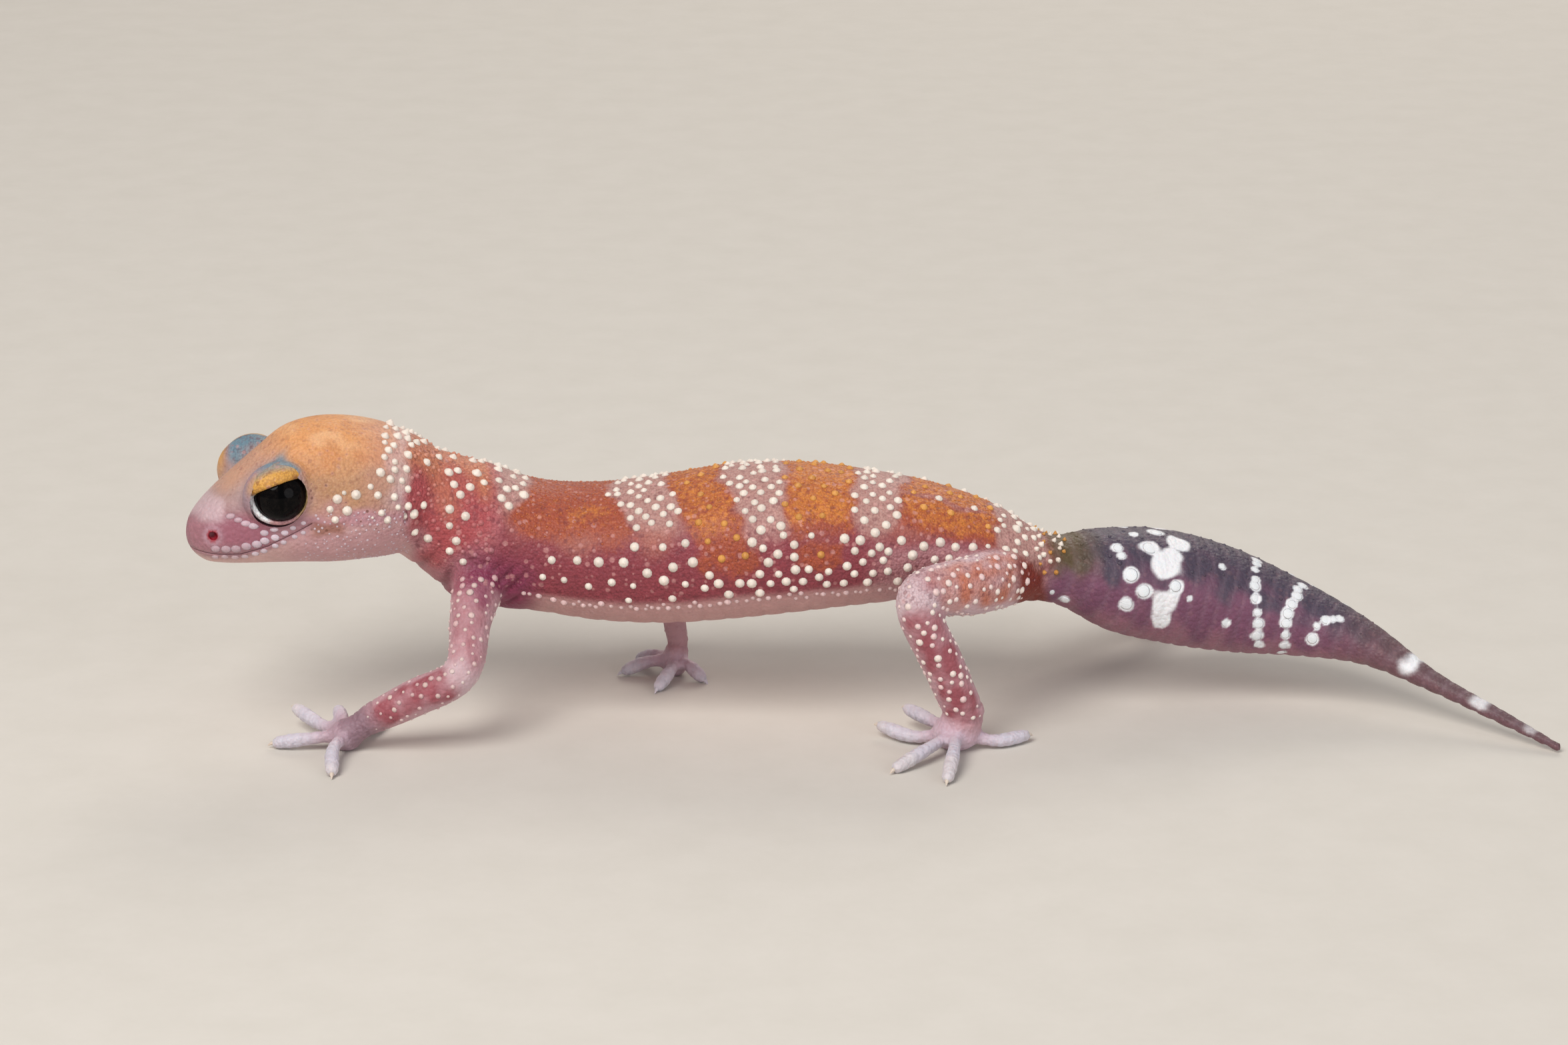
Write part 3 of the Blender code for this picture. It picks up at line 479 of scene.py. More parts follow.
def body_map(points):
    """Where points lie on the animal, as named arrays."""
    index, _ = nearest_row(points, SPINE_ROWS)
    rows, heading = SPINE_ROWS[index], SPINE_HEADING[index]
    offset = points - rows[:, :3]
    along = (offset * heading).sum(1)
    flat = np.hypot(heading[:, 0], heading[:, 1])
    left = (offset[:, 0] * heading[:, 1] - offset[:, 1] * heading[:, 0]) / flat / rows[:, 3]
    up = (offset[:, 2] - heading[:, 2] * along) / rows[:, 4]
    place = SimpleNamespace(points=points, x=rows[:, 0] + along * heading[:, 0], up=up, z=points[:, 2])
    place.round = np.degrees(np.arctan2(up, left))
    trunk_gap = (np.hypot(left, up) - 1) * np.minimum(rows[:, 3], rows[:, 4])
    c, s = math.cos(HEAD_YAW), math.sin(HEAD_YAW)
    dx, dy = points[:, 0] - SNOUT_X, points[:, 1] - SNOUT_Y
    place.d, place.e = dx * c + dy * s, dx * s - dy * c
    limb_gap = np.full(len(points), 99.0)
    place.joint, place.outer = np.zeros(len(points)), np.zeros(len(points))
    place.limb = np.full(len(points), -1)
    for k, (name, rows) in enumerate(LIMB_ROWS.items()):
        index, far = nearest_row(points, rows)
        tube = far - rows[index, 3]
        palm = Vector(LIMBS[name][5][:3])
        toes = np.min([nearest_row(points, digit_path(palm, digit))[1] for digit in DIGITS[name]], axis=0)
        toes -= TOE_RADIUS
        gap = np.minimum(tube, toes)
        steps = np.linalg.norm(np.diff(np.array(LIMBS[name])[:, :3], axis=0), axis=1)
        marks = np.concatenate([[0.0], np.cumsum(steps)])
        joint = np.interp(index / (len(rows) - 1) * marks[-1], marks, range(6))
        tip = np.linalg.norm(points - np.array(palm), axis=1) / FOOT_LENGTH
        joint = np.where((index == len(rows) - 1) | (toes < tube), 5 + tip, joint)
        run = np.gradient(rows[:, :3], axis=0)[index]
        run /= np.linalg.norm(run, axis=1, keepdims=True)
        out = np.array(outwards(name))
        out = out - run * (run @ out)[:, None]
        out /= np.linalg.norm(out, axis=1, keepdims=True)
        outer = ((points - rows[index, :3]) * out).sum(1) / rows[index, 3]
        closer = gap < limb_gap
        place.joint = np.where(closer, joint, place.joint)
        place.outer = np.where(closer, outer, place.outer)
        place.limb = np.where(closer, k, place.limb)
        limb_gap = np.minimum(limb_gap, gap)
    wavy = points[:, 0] + 0.25 * np.sin(points[:, 2] * 1.7)
    place.head = (1 - step(wavy, -43.5, -42.5)) * step(points[:, 2], 12.0, 14.0)
    place.on_limb = step(trunk_gap - limb_gap, -0.5, 1.2) * (1 - place.head)
    place.tail = step(place.x, 14.4, 16.6) * (1 - place.on_limb)
    return place


def mesh_points(mesh):
    """A mesh's points in millimetres, as an array."""
    flat = np.empty(len(mesh.vertices) * 3)
    mesh.vertices.foreach_get("co", flat)
    return flat.reshape(-1, 3) / MM


here = body_map(mesh_points(skin.data))
print("share of the skin on limbs:", round(float(here.on_limb.mean()), 2))

# %% [markdown]
# ## Folds and creases
# Loose skin gathers where the animal bends. The tail carries shallow rings all the way down, the
# throat and the shoulder a few soft folds, the ankles and wrists tight creases, and the belly has
# faint cross folds. Each is a small move of the mesh's points along their normals, so the
# render's outline shows them too, which a painted bump never does.

# %% Folds and creases
RING_STEP, RING_DEPTH = 1.45, 0.11
FOLD_DEPTH = 0.3


def groove(value, spacing):
    """Narrow valleys at even steps of value, from 0 on the flat to 1 at the bottom."""
    return (0.5 + 0.5 * np.cos(2 * math.pi * value / spacing)) ** 4


def fold_depths(at):
    """How far each point sinks into the skin, in millimetres."""
    x, up, z, joint = at.x, at.up, at.z, at.joint
    wander = ripple(at.points, 9.0, 5)
    body = (1 - at.on_limb) * (1 - at.head)
    rings = groove(x + 0.25 * wander, RING_STEP) * RING_DEPTH * at.tail
    rings *= 0.35 + 0.65 * step(-up, -0.6, 0.5)
    throat = groove(x + 0.3 * wander + 0.12 * z, 1.5) * FOLD_DEPTH
    throat *= within(x, -44, -37, 1.5) * step(-up, 0.0, 0.6) * body
    shoulder = groove(x * 0.8 - 0.5 * z + 0.3 * wander, 1.3) * FOLD_DEPTH
    shoulder *= within(x, -37.5, -32.5, 1.2) * within(up, -0.75, -0.05, 0.15) * body
    belly = groove(x + 0.35 * wander, 2.1) * 0.07 * step(-up, 0.55, 0.8)
    belly *= body * (1 - at.tail)
    hip = groove(x * 0.6 + 0.6 * z + 0.4 * wander, 1.5) * 0.14
    hip *= within(x, 9.5, 16.5, 1.0) * within(up, -0.9, 0.2, 0.2) * body
    wrist = groove(joint + 0.05 * wander, 0.16) * 0.12 * within(joint, 3.75, 4.5, 0.12)
    bend = groove(joint - 2.0 + 0.04 * wander, 0.2) * 0.12 * within(joint, 1.8, 2.2, 0.1)
    bend *= step(-at.outer, -0.3, 0.4)
    toes = groove(joint + 0.02 * wander, 0.11) * 0.05 * step(joint, 5.1, 5.3)
    eye = np.hypot(at.d - EYE_D, z - EYE_Z)
    brow = groove(eye + 0.1 * wander, 0.5) * 0.1 * within(eye, 3.1, 4.2, 0.2) * at.head
    brow *= step(z + 0.3 * at.d, 26.8, 27.6) * step(np.abs(at.e), 2.0, 3.0)
    return rings + throat + shoulder + belly + hip + brow + (wrist + bend + toes) * at.on_limb


def displace(mesh, depths):
    """Moves each point of a mesh inwards along its normal."""
    normals = np.empty(len(mesh.vertices) * 3)
    mesh.vertices.foreach_get("normal", normals)
    moved = mesh_points(mesh) - normals.reshape(-1, 3) * depths[:, None]
    mesh.vertices.foreach_set("co", (moved * MM).ravel())
    mesh.update()


depths = fold_depths(here)
displace(skin.data, depths)
print("deepest fold:", round(float(depths.max()), 2), "mm")

# %% [markdown]
# ## Openings of the head, and flat soles
# The mouth is a thin line that climbs to a corner below the eye, as if the animal smiled. It is cut
# with a thin blade bent round the snout, which stays crisp where a painted line would blur. The eye
# sockets, nostrils and ear slits are cut in the same stroke, and the floor cuts the soles flat.

# %% Cut the openings
MOUTH_GAP, MOUTH_DEPTH, BLADE_OUT, MOUTH_STEPS = 0.2, 0.7, 0.5, 16
SOCKET_ROOM = 0.28
# The block that stands for the floor, in metres
BLOCK_SIZE = 0.2
# The left socket is a little wider in front of the ball, where the pale crescent shows: back, out and up
FRONT_ROOM = (-0.38, 0.28, -0.12)


def combine(target, shapes, operation):
    """Cuts or joins closed shapes with an object, by one Boolean on a collection."""
    group = bpy.data.collections.new("tools")
    bpy.context.scene.collection.children.link(group)
    for shape in shapes:
        tool = add_object("tool", shape)
        bpy.context.scene.collection.objects.unlink(tool)
        group.objects.link(tool)
    settings = {"operation": operation, "solver": "MANIFOLD", "operand_type": "COLLECTION"}
    add_modifier(target, "BOOLEAN", {**settings, "collection": group})
    apply_modifiers(target)
    for tool in list(group.objects):
        bpy.data.objects.remove(tool)
    bpy.data.collections.remove(group)


def head_section(d):
    """Half width, top, bottom and widest level of the head at d."""
    rows = smooth_rows(HEAD, 200)
    return [float(np.interp(d, rows[:, 0], rows[:, k])) for k in range(1, 5)]


def mouth_height(d):
    """Height of the mouth's line at d."""
    return np.interp(d, *zip(*MOUTH))


def mouth_line(d):
    """The point of the mouth's line on the left lip at d, in the head's frame."""
    wide, _, bottom, level = head_section(d)
    z = float(mouth_height(d))
    drop = min(1.0, abs(z - level) / (level - bottom))
    return Vector((d, wide * (1 - drop ** HEAD_POWER) ** (1 / HEAD_POWER), z))


def mouth_blade():
    """A thin blade bent round the snout."""
    corner = MOUTH[-1][0]
    path = [mouth_line(corner * share * share) for share in np.linspace(1.0, 0.2, MOUTH_STEPS)]
    path.append(Vector((0.0, 0.0, MOUTH[0][1])))
    path += [Vector((p.x, -p.y, p.z)) for p in reversed(path[:-1])]
    rise = Vector((0, 0, MOUTH_GAP / 2))
    rings = []
    for i, spot in enumerate(path):
        run = path[min(i + 1, len(path) - 1)] - path[max(i - 1, 0)]
        out = Vector((run.y, -run.x, 0)).normalized()
        inner, outer = spot - out * MOUTH_DEPTH, spot + out * BLADE_OUT
        rings.append([head_point(*p) for p in (inner, outer - rise, outer + rise)])
    return loft(rings)


def floor_block():
    """The block below the floor, which cuts the soles flat."""
    block = bmesh.new()
    bmesh.ops.create_cube(block, size=BLOCK_SIZE)
    block.transform(Matrix.Translation((0, 0, -BLOCK_SIZE / 2)))
    return block


def eye_centre(side):
    """The middle of an eyeball; side is 1 on the animal's left and -1 on its right."""
    return head_point(EYE_D, side * EYE_E, EYE_Z)


openings = [mouth_blade()]
for side in (1, -1):
    openings.append(ellipsoid(eye_centre(side), (EYE_RADIUS + SOCKET_ROOM,) * 3, 0.0))
    if side > 0:
        back, out, up = FRONT_ROOM
        wider = head_point(EYE_D + back, EYE_E + out, EYE_Z + up)
        openings.append(ellipsoid(wider, (EYE_RADIUS + SOCKET_ROOM,) * 3, 0.0))
    for (d, e, z), size in (NOSTRIL, EAR):
        openings.append(ellipsoid(head_point(d, side * e, z), size, HEAD_YAW, 16))
combine(skin, openings, "DIFFERENCE")
combine(skin, [floor_block()], "DIFFERENCE")
keep_largest(skin)
print("skin after cutting:", len(skin.data.polygons), "faces")

# %% [markdown]
# ## The markings
# Four orange saddles cross a raspberry-pink body, with pale lavender bands between them; the crown is
# orange, the snout mauve, the tail slate purple with white blotches, and hands and feet are almost
# white. The markings slant backwards down the flanks. Soft changes of tone are worked out here, point
# by point, by rules on the body's coordinates, and kept as a colour on the mesh. Each marking with a
# crisp edge is kept as a number instead, which the material later sharpens and roughens.


# %% Tones of the skin
def tone(red, green, blue):
    """A colour from its 0 to 255 screen values, in Blender's linear numbers."""
    share = np.array((red, green, blue)) / 255
    return np.where(share <= 0.04045, share / 12.92, ((share + 0.055) / 1.055) ** 2.4)


TONES = {
    "flank": tone(137, 54, 65), "back": tone(166, 96, 84), "belly": tone(190, 144, 142),
    "neck": tone(168, 72, 76), "throat": tone(180, 120, 126), "shoulder": tone(128, 46, 78),
    "hip": tone(120, 32, 6), "crown": tone(220, 154, 98), "cheek": tone(200, 156, 118),
    "jowl": tone(190, 140, 148), "snout": tone(156, 113, 121), "nose": tone(155, 93, 109),
    "jaw": tone(204, 164, 160), "brow": tone(102, 133, 149), "lid": tone(212, 156, 70),
    "limb": tone(190, 148, 156), "limb_core": tone(150, 76, 86), "joint": tone(212, 188, 194),
    "foot": tone(200, 170, 184), "digit": tone(206, 200, 212), "thigh": tone(192, 114, 90),
    "tail_side": tone(112, 66, 92), "tail_top": tone(68, 58, 76), "tail_low": tone(142, 94, 110),
    "tail_root": tone(84, 68, 40), "tail_end": tone(106, 76, 78), "flesh": tone(150, 16, 40),
    "brown": tone(140, 84, 58), "freckled": tone(176, 128, 92), "tail_line": tone(158, 132, 146),
    "peach": tone(230, 178, 132), "ochre": tone(200, 132, 80), "lilac": tone(184, 136, 140),
    "hand": tone(146, 116, 128), "toe_tip": tone(212, 204, 204),
}
# The bands from neck to tail, alternately pale and orange: each edge's x on the top of the back and
# its x low on the flank
EDGES = [(-36.9, -36.6), (-33.0, -35.6), (-25.7, -21.7), (-19.0, -16.6), (-13.7, -12.0), (-7.9, -7.7),
         (-1.9, -1.4), (3.2, 1.9), (9.8, 11.0), (14.6, 14.9)]
# How far each band comes down, in degrees from the top of the back, and over how much it fades
REACHES = [(58, 14), (62, 20), (54, 26), (92, 18), (70, 24), (68, 18), (68, 22), (63, 14), (92, 20)]
# How golden each band is, from rust to gold
GOLDEN = [0, 0.2, 0, 0.6, 0, 0.7, 0, 0.6, 0]
# The angle at which the flank's x of an edge holds, and half the width over which an edge fades
SIDE_ANGLE, EDGE_FADE = 57, 0.9


def markings(at):
    """How strongly each crisp marking shows at the points."""
    points = at.points
    down = np.abs(at.round - 90)
    down = np.where(at.round < -90, np.abs(at.round + 270), down)
    x = at.x + 0.55 * ripple(points, 6.0, 11) + 0.35 * ripple(points, 2.4, 12)
    drop = down + 6 * ripple(points, 5.0, 13)
    share = np.clip(down / SIDE_ANGLE, 0, 1.3)
    edges = [top + (side - top) * share for top, side in EDGES]
    marks = {name: np.zeros(len(points)) for name in ("saddle", "pale", "gold")}
    for k, (reach, soft) in enumerate(REACHES):
        band = within(x, edges[k], edges[k + 1], EDGE_FADE)
        band *= 1 - step(drop, reach - soft, reach + soft)
        name = "saddle" if k % 2 else "pale"
        marks[name] = np.maximum(marks[name], band)
        marks["gold"] = np.maximum(marks["gold"], band * GOLDEN[k])
    # Low patches, a gap in the last saddle, and a golden glow behind the shoulder
    low_patch = (within(x, -6.9, -2.2, 0.8) + within(x, -12.8, -10.4, 0.8)) * within(drop, 72, 94, 6)
    marks["saddle"] = np.maximum(marks["saddle"], 0.75 * low_patch)
    stripe = within(drop, 18, 26, 3) * within(x, 2.8, 9.6, 0.8)
    marks["saddle"] *= 1 - 0.8 * stripe
    glow = within(x, -29.5, -24.5, 2.4) * within(drop, 26, 52, 14)
    marks["gold"] = np.maximum(marks["gold"], 0.6 * glow) * (1 - 0.85 * step(drop, 48, 72))
    body = (1 - at.on_limb) * (1 - at.head) * (1 - at.tail)
    return {name: values * body for name, values in marks.items()}


def fade(base, other, share):
    """Fades tones into others by each point's share."""
    return base + (other - base) * share[:, None]


def lay(base, *layers):
    """Lays tones over a base in turn, each given by its name and an amount from 0 to 1."""
    for name, amount in layers:
        base = fade(base, TONES[name], np.clip(amount, 0, 1))
    return base


def plain(name, at):
    """One tone for all points."""
    return np.tile(TONES[name], (len(at.x), 1))


def near_hollow(at, place, size):
    """How far points lie from a hollow of the head, in shares of a size."""
    where = np.column_stack([at.d, np.abs(at.e), at.z])
    return np.linalg.norm((where - np.array(place)) / size, axis=1)


def far_lid(base, at, wave):
    """The right eyelid: blue grey in the middle, yellow along its front."""
    x, z = at.points[:, 0], at.z
    return lay(
        base,
        ("freckled", 0.5 * (1 - step(x, -60.4, -59.4))),
        ("brow", 0.95 * within(x + wave, -60.1, -57.9, 0.5) * step(z + wave, 24.4, 25.3)),
        ("lid", (1 - step(x + 0.3 * wave, -61.0, -60.1)) * step(z, 22.8, 24.0)))


def head_tones(base, at):
    """Adds the tones of the head."""
    points, d, e, z = at.points, at.d, np.abs(at.e), at.z
    x = points[:, 0]
    wave = 0.5 * ripple(points, 3.0, 21)
    made = lay(
        plain("snout", at),
        ("cheek", 0.4 * step(z + wave, 21.8, 24.2) * (1 - step(e, 2.5, 4.5))),
        ("joint", 0.2 * step(z + wave, 22.2, 24.6)),
        ("brow", 0.2 * step(z + wave, 22.2, 24.0)),
        ("jowl", step(d + wave, 9.0, 12.0)),
        ("cheek", step(d + wave, 8.5, 11.0) * step(z + 1.5 * wave, 22.0, 24.0)),
        ("freckled", 0.7 * within(d, 10.5, 17.5, 1.2) * within(z + wave, 22.8, 26.0, 0.9)),
        ("crown", step(z + wave - 0.1 * e, 24.7, 26.6) * step(d, 6.0, 10.0)),
        ("crown", 0.45 * step(z, 22.6, 24.4) * within(d, 3.0, 9.0, 1.5) * (1 - step(e, 1.0, 3.0))),
        ("freckled", 0.4 * within(d, 9.5, 15.0, 1.5) * within(z, 25.0, 27.4, 0.8) * step(e, 2.5, 4.0)),
        ("peach", 0.7 * step(ripple(points, 4.0, 22), 0.0, 0.7) * step(z, 25.0, 27.0) * step(d, 8.0, 11.0)),
        ("ochre", 0.6 * step(ripple(points, 3.2, 23), 0.1, 0.8) * step(z, 24.6, 26.0) * step(d, 9.0, 12.0)),
        ("lilac", 0.35 * step(x, -48.5, -45.0) * step(z, 21.0, 23.0)),
        ("joint", 0.45 * within(x + wave, -44.7, -42.2, 0.7) * step(z, 21.5, 23.5)),
        ("lid", 0.45 * within(d, 4.4, 6.2, 0.5) * step(e, 4.4, 5.2) * within(z, 24.6, 27.0, 0.5)),
        ("brow", 0.95 * within(d + wave, 5.7, 9.3, 0.7) * within(e, 2.6, 5.9, 0.5) * step(z, 26.0, 26.6)))
    far = step(-at.e, 1.8, 3.0) * within(d, 4.2, 10.8, 0.8)
    corner = within(d + wave, 10.2, 12.8, 0.6) * within(z + wave, 20.1, 21.8, 0.4) * step(e, 3, 5)
    hole, slit = near_hollow(at, NOSTRIL[0], 1.0), near_hollow(at, EAR[0], (0.5, 1.0, 1.1))
    made = lay(
        fade(made, far_lid(made, at, wave), far),
        # The jaw below the mouth is paler: partly its own colour, partly painted light thrown up by the
        # floor.
        ("jaw", 1 - step(z - mouth_height(d), -0.9, 0.0)),
        ("jowl", 0.6 * within(d, 8.0, 20.0, 2.0) * (1 - step(z, 20.0, 21.6))),
        ("brown", 0.75 * corner),
        ("nose", 0.4 * (1 - step(d + wave, 1.4, 3.4)) * within(z, 19.0, 21.4, 0.5)),
        # The mauve patch on the snout's side: partly its own tone, partly painted shade below the eye.
        ("nose", 0.95 * within(d + wave, 1.9, 6.6, 0.9) * within(z + 0.5 * wave, 19.4, 22.2, 0.6)),
        # Painted highlight: a paler patch on the top front of the snout, where a sheen lies.
        ("joint", 0.6 * within(d + wave, 0.6, 2.8, 0.5) * within(z, 21.6, 23.6, 0.4)),
        ("foot", 0.4 * (1 - step(hole, 0.7, 1.2))),
        ("flesh", 1 - step(hole, 0.48, 0.68)),
        ("nose", 0.5 * (1 - step(slit, 0.7, 1.1))))
    return fade(base, made, at.head)


def tail_tones(base, at):
    """Adds the tones of the tail."""
    wave = 0.25 * ripple(at.points, 3.0, 31)
    made = lay(
        plain("tail_side", at),
        ("tail_top", step(at.up + wave, 0.15, 0.7)),
        ("tail_low", step(-at.up + wave, 0.2, 0.8)),
        ("tail_root", (1 - step(at.x + wave, 17.2, 20.6)) * step(at.up + wave, -0.1, 0.5)),
        ("tail_end", 0.75 * step(at.x, 42.0, 50.0)),
        ("tail_line", 0.14 * groove(at.x + 0.25 * ripple(at.points, 9.0, 5), RING_STEP)))
    return fade(base, made, at.tail)


def limb_tones(base, at):
    """Adds the tones of the limbs."""
    joint, wave = at.joint, 0.3 * ripple(at.points, 2.6, 41)
    rough = joint + 0.3 * wave
    stripe = step(at.outer + 0.6 * wave, 0.35, 0.85) * (0.72 + 0.34 * ripple(at.points, 1.7, 42))
    leg = (at.limb >= 2).astype(float)
    core = 0.605 + 0.66 * np.maximum(0.75 * leg, step(joint, 1.9, 2.4))
    made = lay(
        plain("limb", at),
        ("limb_core", core * stripe * within(rough, 0.6, 4.0, 0.3)),
        # The upper leg's underside is paler: partly its own tone, partly painted light from below.
        ("joint", 0.65 * leg * (1 - step(joint, 1.6, 1.9))),
        ("thigh", leg * stripe * within(rough, 0.4, 1.7, 0.3)),
        ("joint", (0.65 + 0.25 * leg) * within(rough, 1.85, 2.25, 0.15)),
        ("foot", step(joint, 4.2, 4.8)),
        # Only the near left hand takes the darker hand tone; the far right hand keeps the paler foot tone as
        # painted light, where the body's shadow falls on it.
        ("hand", (at.limb == 0) * within(joint, 3.9, 5.2, 0.3)),
        ("digit", step(joint, 5.15, 5.6)),
        ("toe_tip", 0.6 * step(joint, 5.75, 5.95)))
    return fade(base, made, at.on_limb * np.maximum(leg, step(joint + wave, 0.45, 1.0)))


def skin_tones(at):
    """The soft tone of the skin at each point."""
    x, up, wave = at.x, at.up, 0.3 * ripple(at.points, 5.0, 51)
    made = lay(
        plain("flank", at),
        ("back", step(up + wave, 0.2, 0.7)),
        ("belly", step(-up + 0.1 * wave, 0.36, 0.52) * step(x, -34.0, -30.0)),
        ("belly", 0.7 * step(-up, 0.6, 0.8)),
        ("throat", 1 - step(x + wave, -38.5, -35.0)),
        ("neck", (1 - step(x + wave, -38.0, -35.5)) * step(up + wave, -0.45, 0.15)),
        ("crown", 0.45 * (1 - step(x, -38.5, -36.5)) * step(up + wave, 0.3, 0.8)),
        ("shoulder", within(x, -38.9, -31.5, 1.5) * within(up, -1.1, 0.0, 0.25)),
        ("lilac", 0.7 * step(x + wave, -1.5, 2.5) * (1 - step(up + 0.5 * wave, 0.1, 0.4))),
        ("tail_root", 0.75 * within(x, 14.8, 18.5, 0.7) * step(up + wave, 0.3, 0.6)))
    for add_tones in (tail_tones, head_tones, limb_tones):
        made = add_tones(made, at)
    rusty = within(at.points[:, 0] + wave, 13.1, 15.9, 0.5) * within(up, -0.9, 0.42, 0.14)
    return lay(made, ("hip", rusty))


skin_map = body_map(mesh_points(skin.data))
skin_marks = markings(skin_map)
print("share in saddles:", round(float(skin_marks["saddle"].mean()), 3))

# %% [markdown]
# ## White blotches of the tail
# The fat tail is ringed with porcelain-white blotches, large on the shoulder of the tail and smaller
# towards its tip, where they close up into pale rings. They follow rows round the tail, each one a
# little off its place and of its own size, as a seeded draw gives.

# %% Tail blotches
# The cluster on the tail's shoulder: x, angle round from the near side, radius
BLOTCH_CLUSTER = [
    (22.1, 54, 0.62), (22.2, 44, 0.55), (25.1, 55, 0.95), (28.4, 67, 1.2), (26.4, 37, 1.55), (27.4, 48, 1.1),
    (22.7, 23, 0.9), (23.7, 8, 0.85), (22.2, -8, 0.8), (25.8, -1, 1.4), (25.6, -17, 1.1), (27.2, 17, 0.75),
    (26.6, 84, 0.8), (24.2, 78, 0.5), (17.2, -30, 0.6), (16.0, -20, 0.36), (32.8, 50, 0.45), (33.1, -8, 0.5),
    (28.8, 8, 0.35), (42.8, -3, 0.68), (43.1, 20, 0.42), (43.7, 35, 0.56), (44.3, 43, 0.42), (44.8, 51, 0.48),
]
# Rings of small blotches: x, how far the ring leans forward at the bottom, radius, angles from and to
BLOTCH_RINGS = [(36.4, -0.6, 0.64, -34, 100), (40.8, 1.3, 0.7, -45, 95)]
RING_SPACING = 1.15
PALE_RINGS = [(50.6, 1.2, 0.85), (56.5, 1.5, 0.65), (60.7, 1.2, 0.5)]


def spine_spot(x, turn):
    """The spine's point at x and the direction that leaves it at an angle round the body."""
    row = [float(np.interp(x, SPINE_ROWS[:, 0], SPINE_ROWS[:, k])) for k in range(5)]
    hx, hy = (float(np.interp(x, SPINE_ROWS[:, 0], SPINE_HEADING[:, k])) for k in range(2))
    long = math.hypot(hx, hy)
    left = Vector((hy / long, -hx / long, 0.0))
    angle = math.radians(turn)
    return row, left * math.cos(angle) + Vector((0, 0, 1)) * math.sin(angle)


def blotch_spot(x, angle):
    """The point of the tail's skin at x and an angle."""
    row, out = spine_spot(x, angle)
    turn = math.radians(angle)
    return Vector(row[:3]) + out / math.hypot(math.cos(turn) / row[3], math.sin(turn) / row[4])


def blotches():
    """The middle and radius of each white blotch, in millimetres, on both sides of the tail."""
    rng = np.random.default_rng(7)
    plan = list(BLOTCH_CLUSTER)
    for x, lean, radius, low, high in BLOTCH_RINGS:
        row, _ = spine_spot(x, 0)
        count = round(math.radians(high - low) * row[3] / RING_SPACING)
        for k in range(count):
            angle = low + (high - low) * (k + 0.5 + 0.15 * rng.normal()) / count
            along = x - lean * (1 - (angle - low) / (high - low)) + 0.15 * rng.normal()
            plan.append((along, angle, radius * rng.uniform(0.7, 1.1)))
    made = [(blotch_spot(x, angle), radius) for x, angle, radius in plan]
    return made + [(blotch_spot(x + 0.7 * rng.normal(), 180 - angle + 6 * rng.normal()), radius)
                   for x, angle, radius in plan if angle < 80]


def white_share(at):
    """How white the tail's blotches and rings are at the points."""
    points = at.points
    white = np.zeros(len(points))
    wobble = 1 + 0.16 * ripple(points, 1.4, 61)
    for centre, radius in blotches():
        far = np.linalg.norm(points - np.array(centre), axis=1)
        white = np.maximum(white, 1 - step(far * wobble, radius * 0.6, radius * 1.25))
    for x, wide, strength in PALE_RINGS:
        ring = within(at.x + 0.14 * ripple(points, 1.6, 62), x - wide / 2, x + wide / 2, 0.6)
        white = np.maximum(white, strength * ring * step(at.up, -0.9, 0.5))
    white *= 1 - 0.35 * step(-at.up, -0.1, 0.45) * step(ripple(points, 1.8, 63), -0.3, 0.6)
    return white * step(at.x, 15.0, 16.5) * (1 - at.on_limb)


skin_marks["white"] = white_share(skin_map)
print("blotches:", len(blotches()))

# %% [markdown]
# ## Storing the markings
# Blender keeps such numbers as attributes of the mesh, one for each point. A material reads them by
# name; every raised scale that is set on the skin later works out its own by the same rules, which is
# why skin and scales never disagree about where a saddle ends.


# %% Store the markings
def store(mesh, name, values):
    """Keeps an array as an attribute of a mesh's points: numbers, vectors or colours."""
    kinds = {1: ("FLOAT", "value"), 3: ("FLOAT_VECTOR", "vector"), 4: ("FLOAT_COLOR", "color")}
    values = np.asarray(values, dtype=np.float32)
    kind, field = kinds[1 if values.ndim == 1 else values.shape[1]]
    made = mesh.attributes.new(name, kind, "POINT")
    made.data.foreach_set(field, values.ravel())


def with_alpha(colours):
    """Colours with a solid alpha."""
    return np.column_stack([np.clip(colours, 0, 1), np.ones(len(colours))])


def dress(mesh, at, marks):
    """Stores tone and markings on a mesh of skin."""
    store(mesh, "tone", with_alpha(skin_tones(at)))
    for name, values in marks.items():
        store(mesh, name, values)
    ochre = within(at.d, 9.8, 17.5, 1.0) * within(at.z, 20.4, 26.0, 0.8)
    store(mesh, "freckle", at.head * np.maximum(ochre, 0.35 * step(at.z, 22.0, 24.0)))
    hand, belly = at.on_limb * step(at.joint, 3.8, 4.6), step(-at.up, 0.36, 0.5) * (1 - at.tail)
    smooth = np.maximum.reduce((hand, belly, 0.5 * at.head, 0.85 * at.tail, marks["white"]))
    store(mesh, "smoothness", smooth)
    # Painted shade: the fold value darkens the skin's colour where a fold sinks deepest.
    store(mesh, "fold", np.clip(fold_depths(at) / 0.2, 0, 1) * (1 - at.tail))


dress(skin.data, skin_map, skin_marks)
print("attributes:", ", ".join(a.name for a in skin.data.attributes if not a.name.startswith(".")))

# %% [markdown]
# ## Shared patterns
# Three patterns come back in the finishes, so each is a node group with named inputs. The first draws
# the fine beads of skin that lie between the raised scales: a Voronoi pattern gives round cells, whose
# distance to the middle is the height of a bead. The second is a soft mottle of two sizes of noise,
# the third scatters round specks. All read Object coordinates, so they stay on the skin.


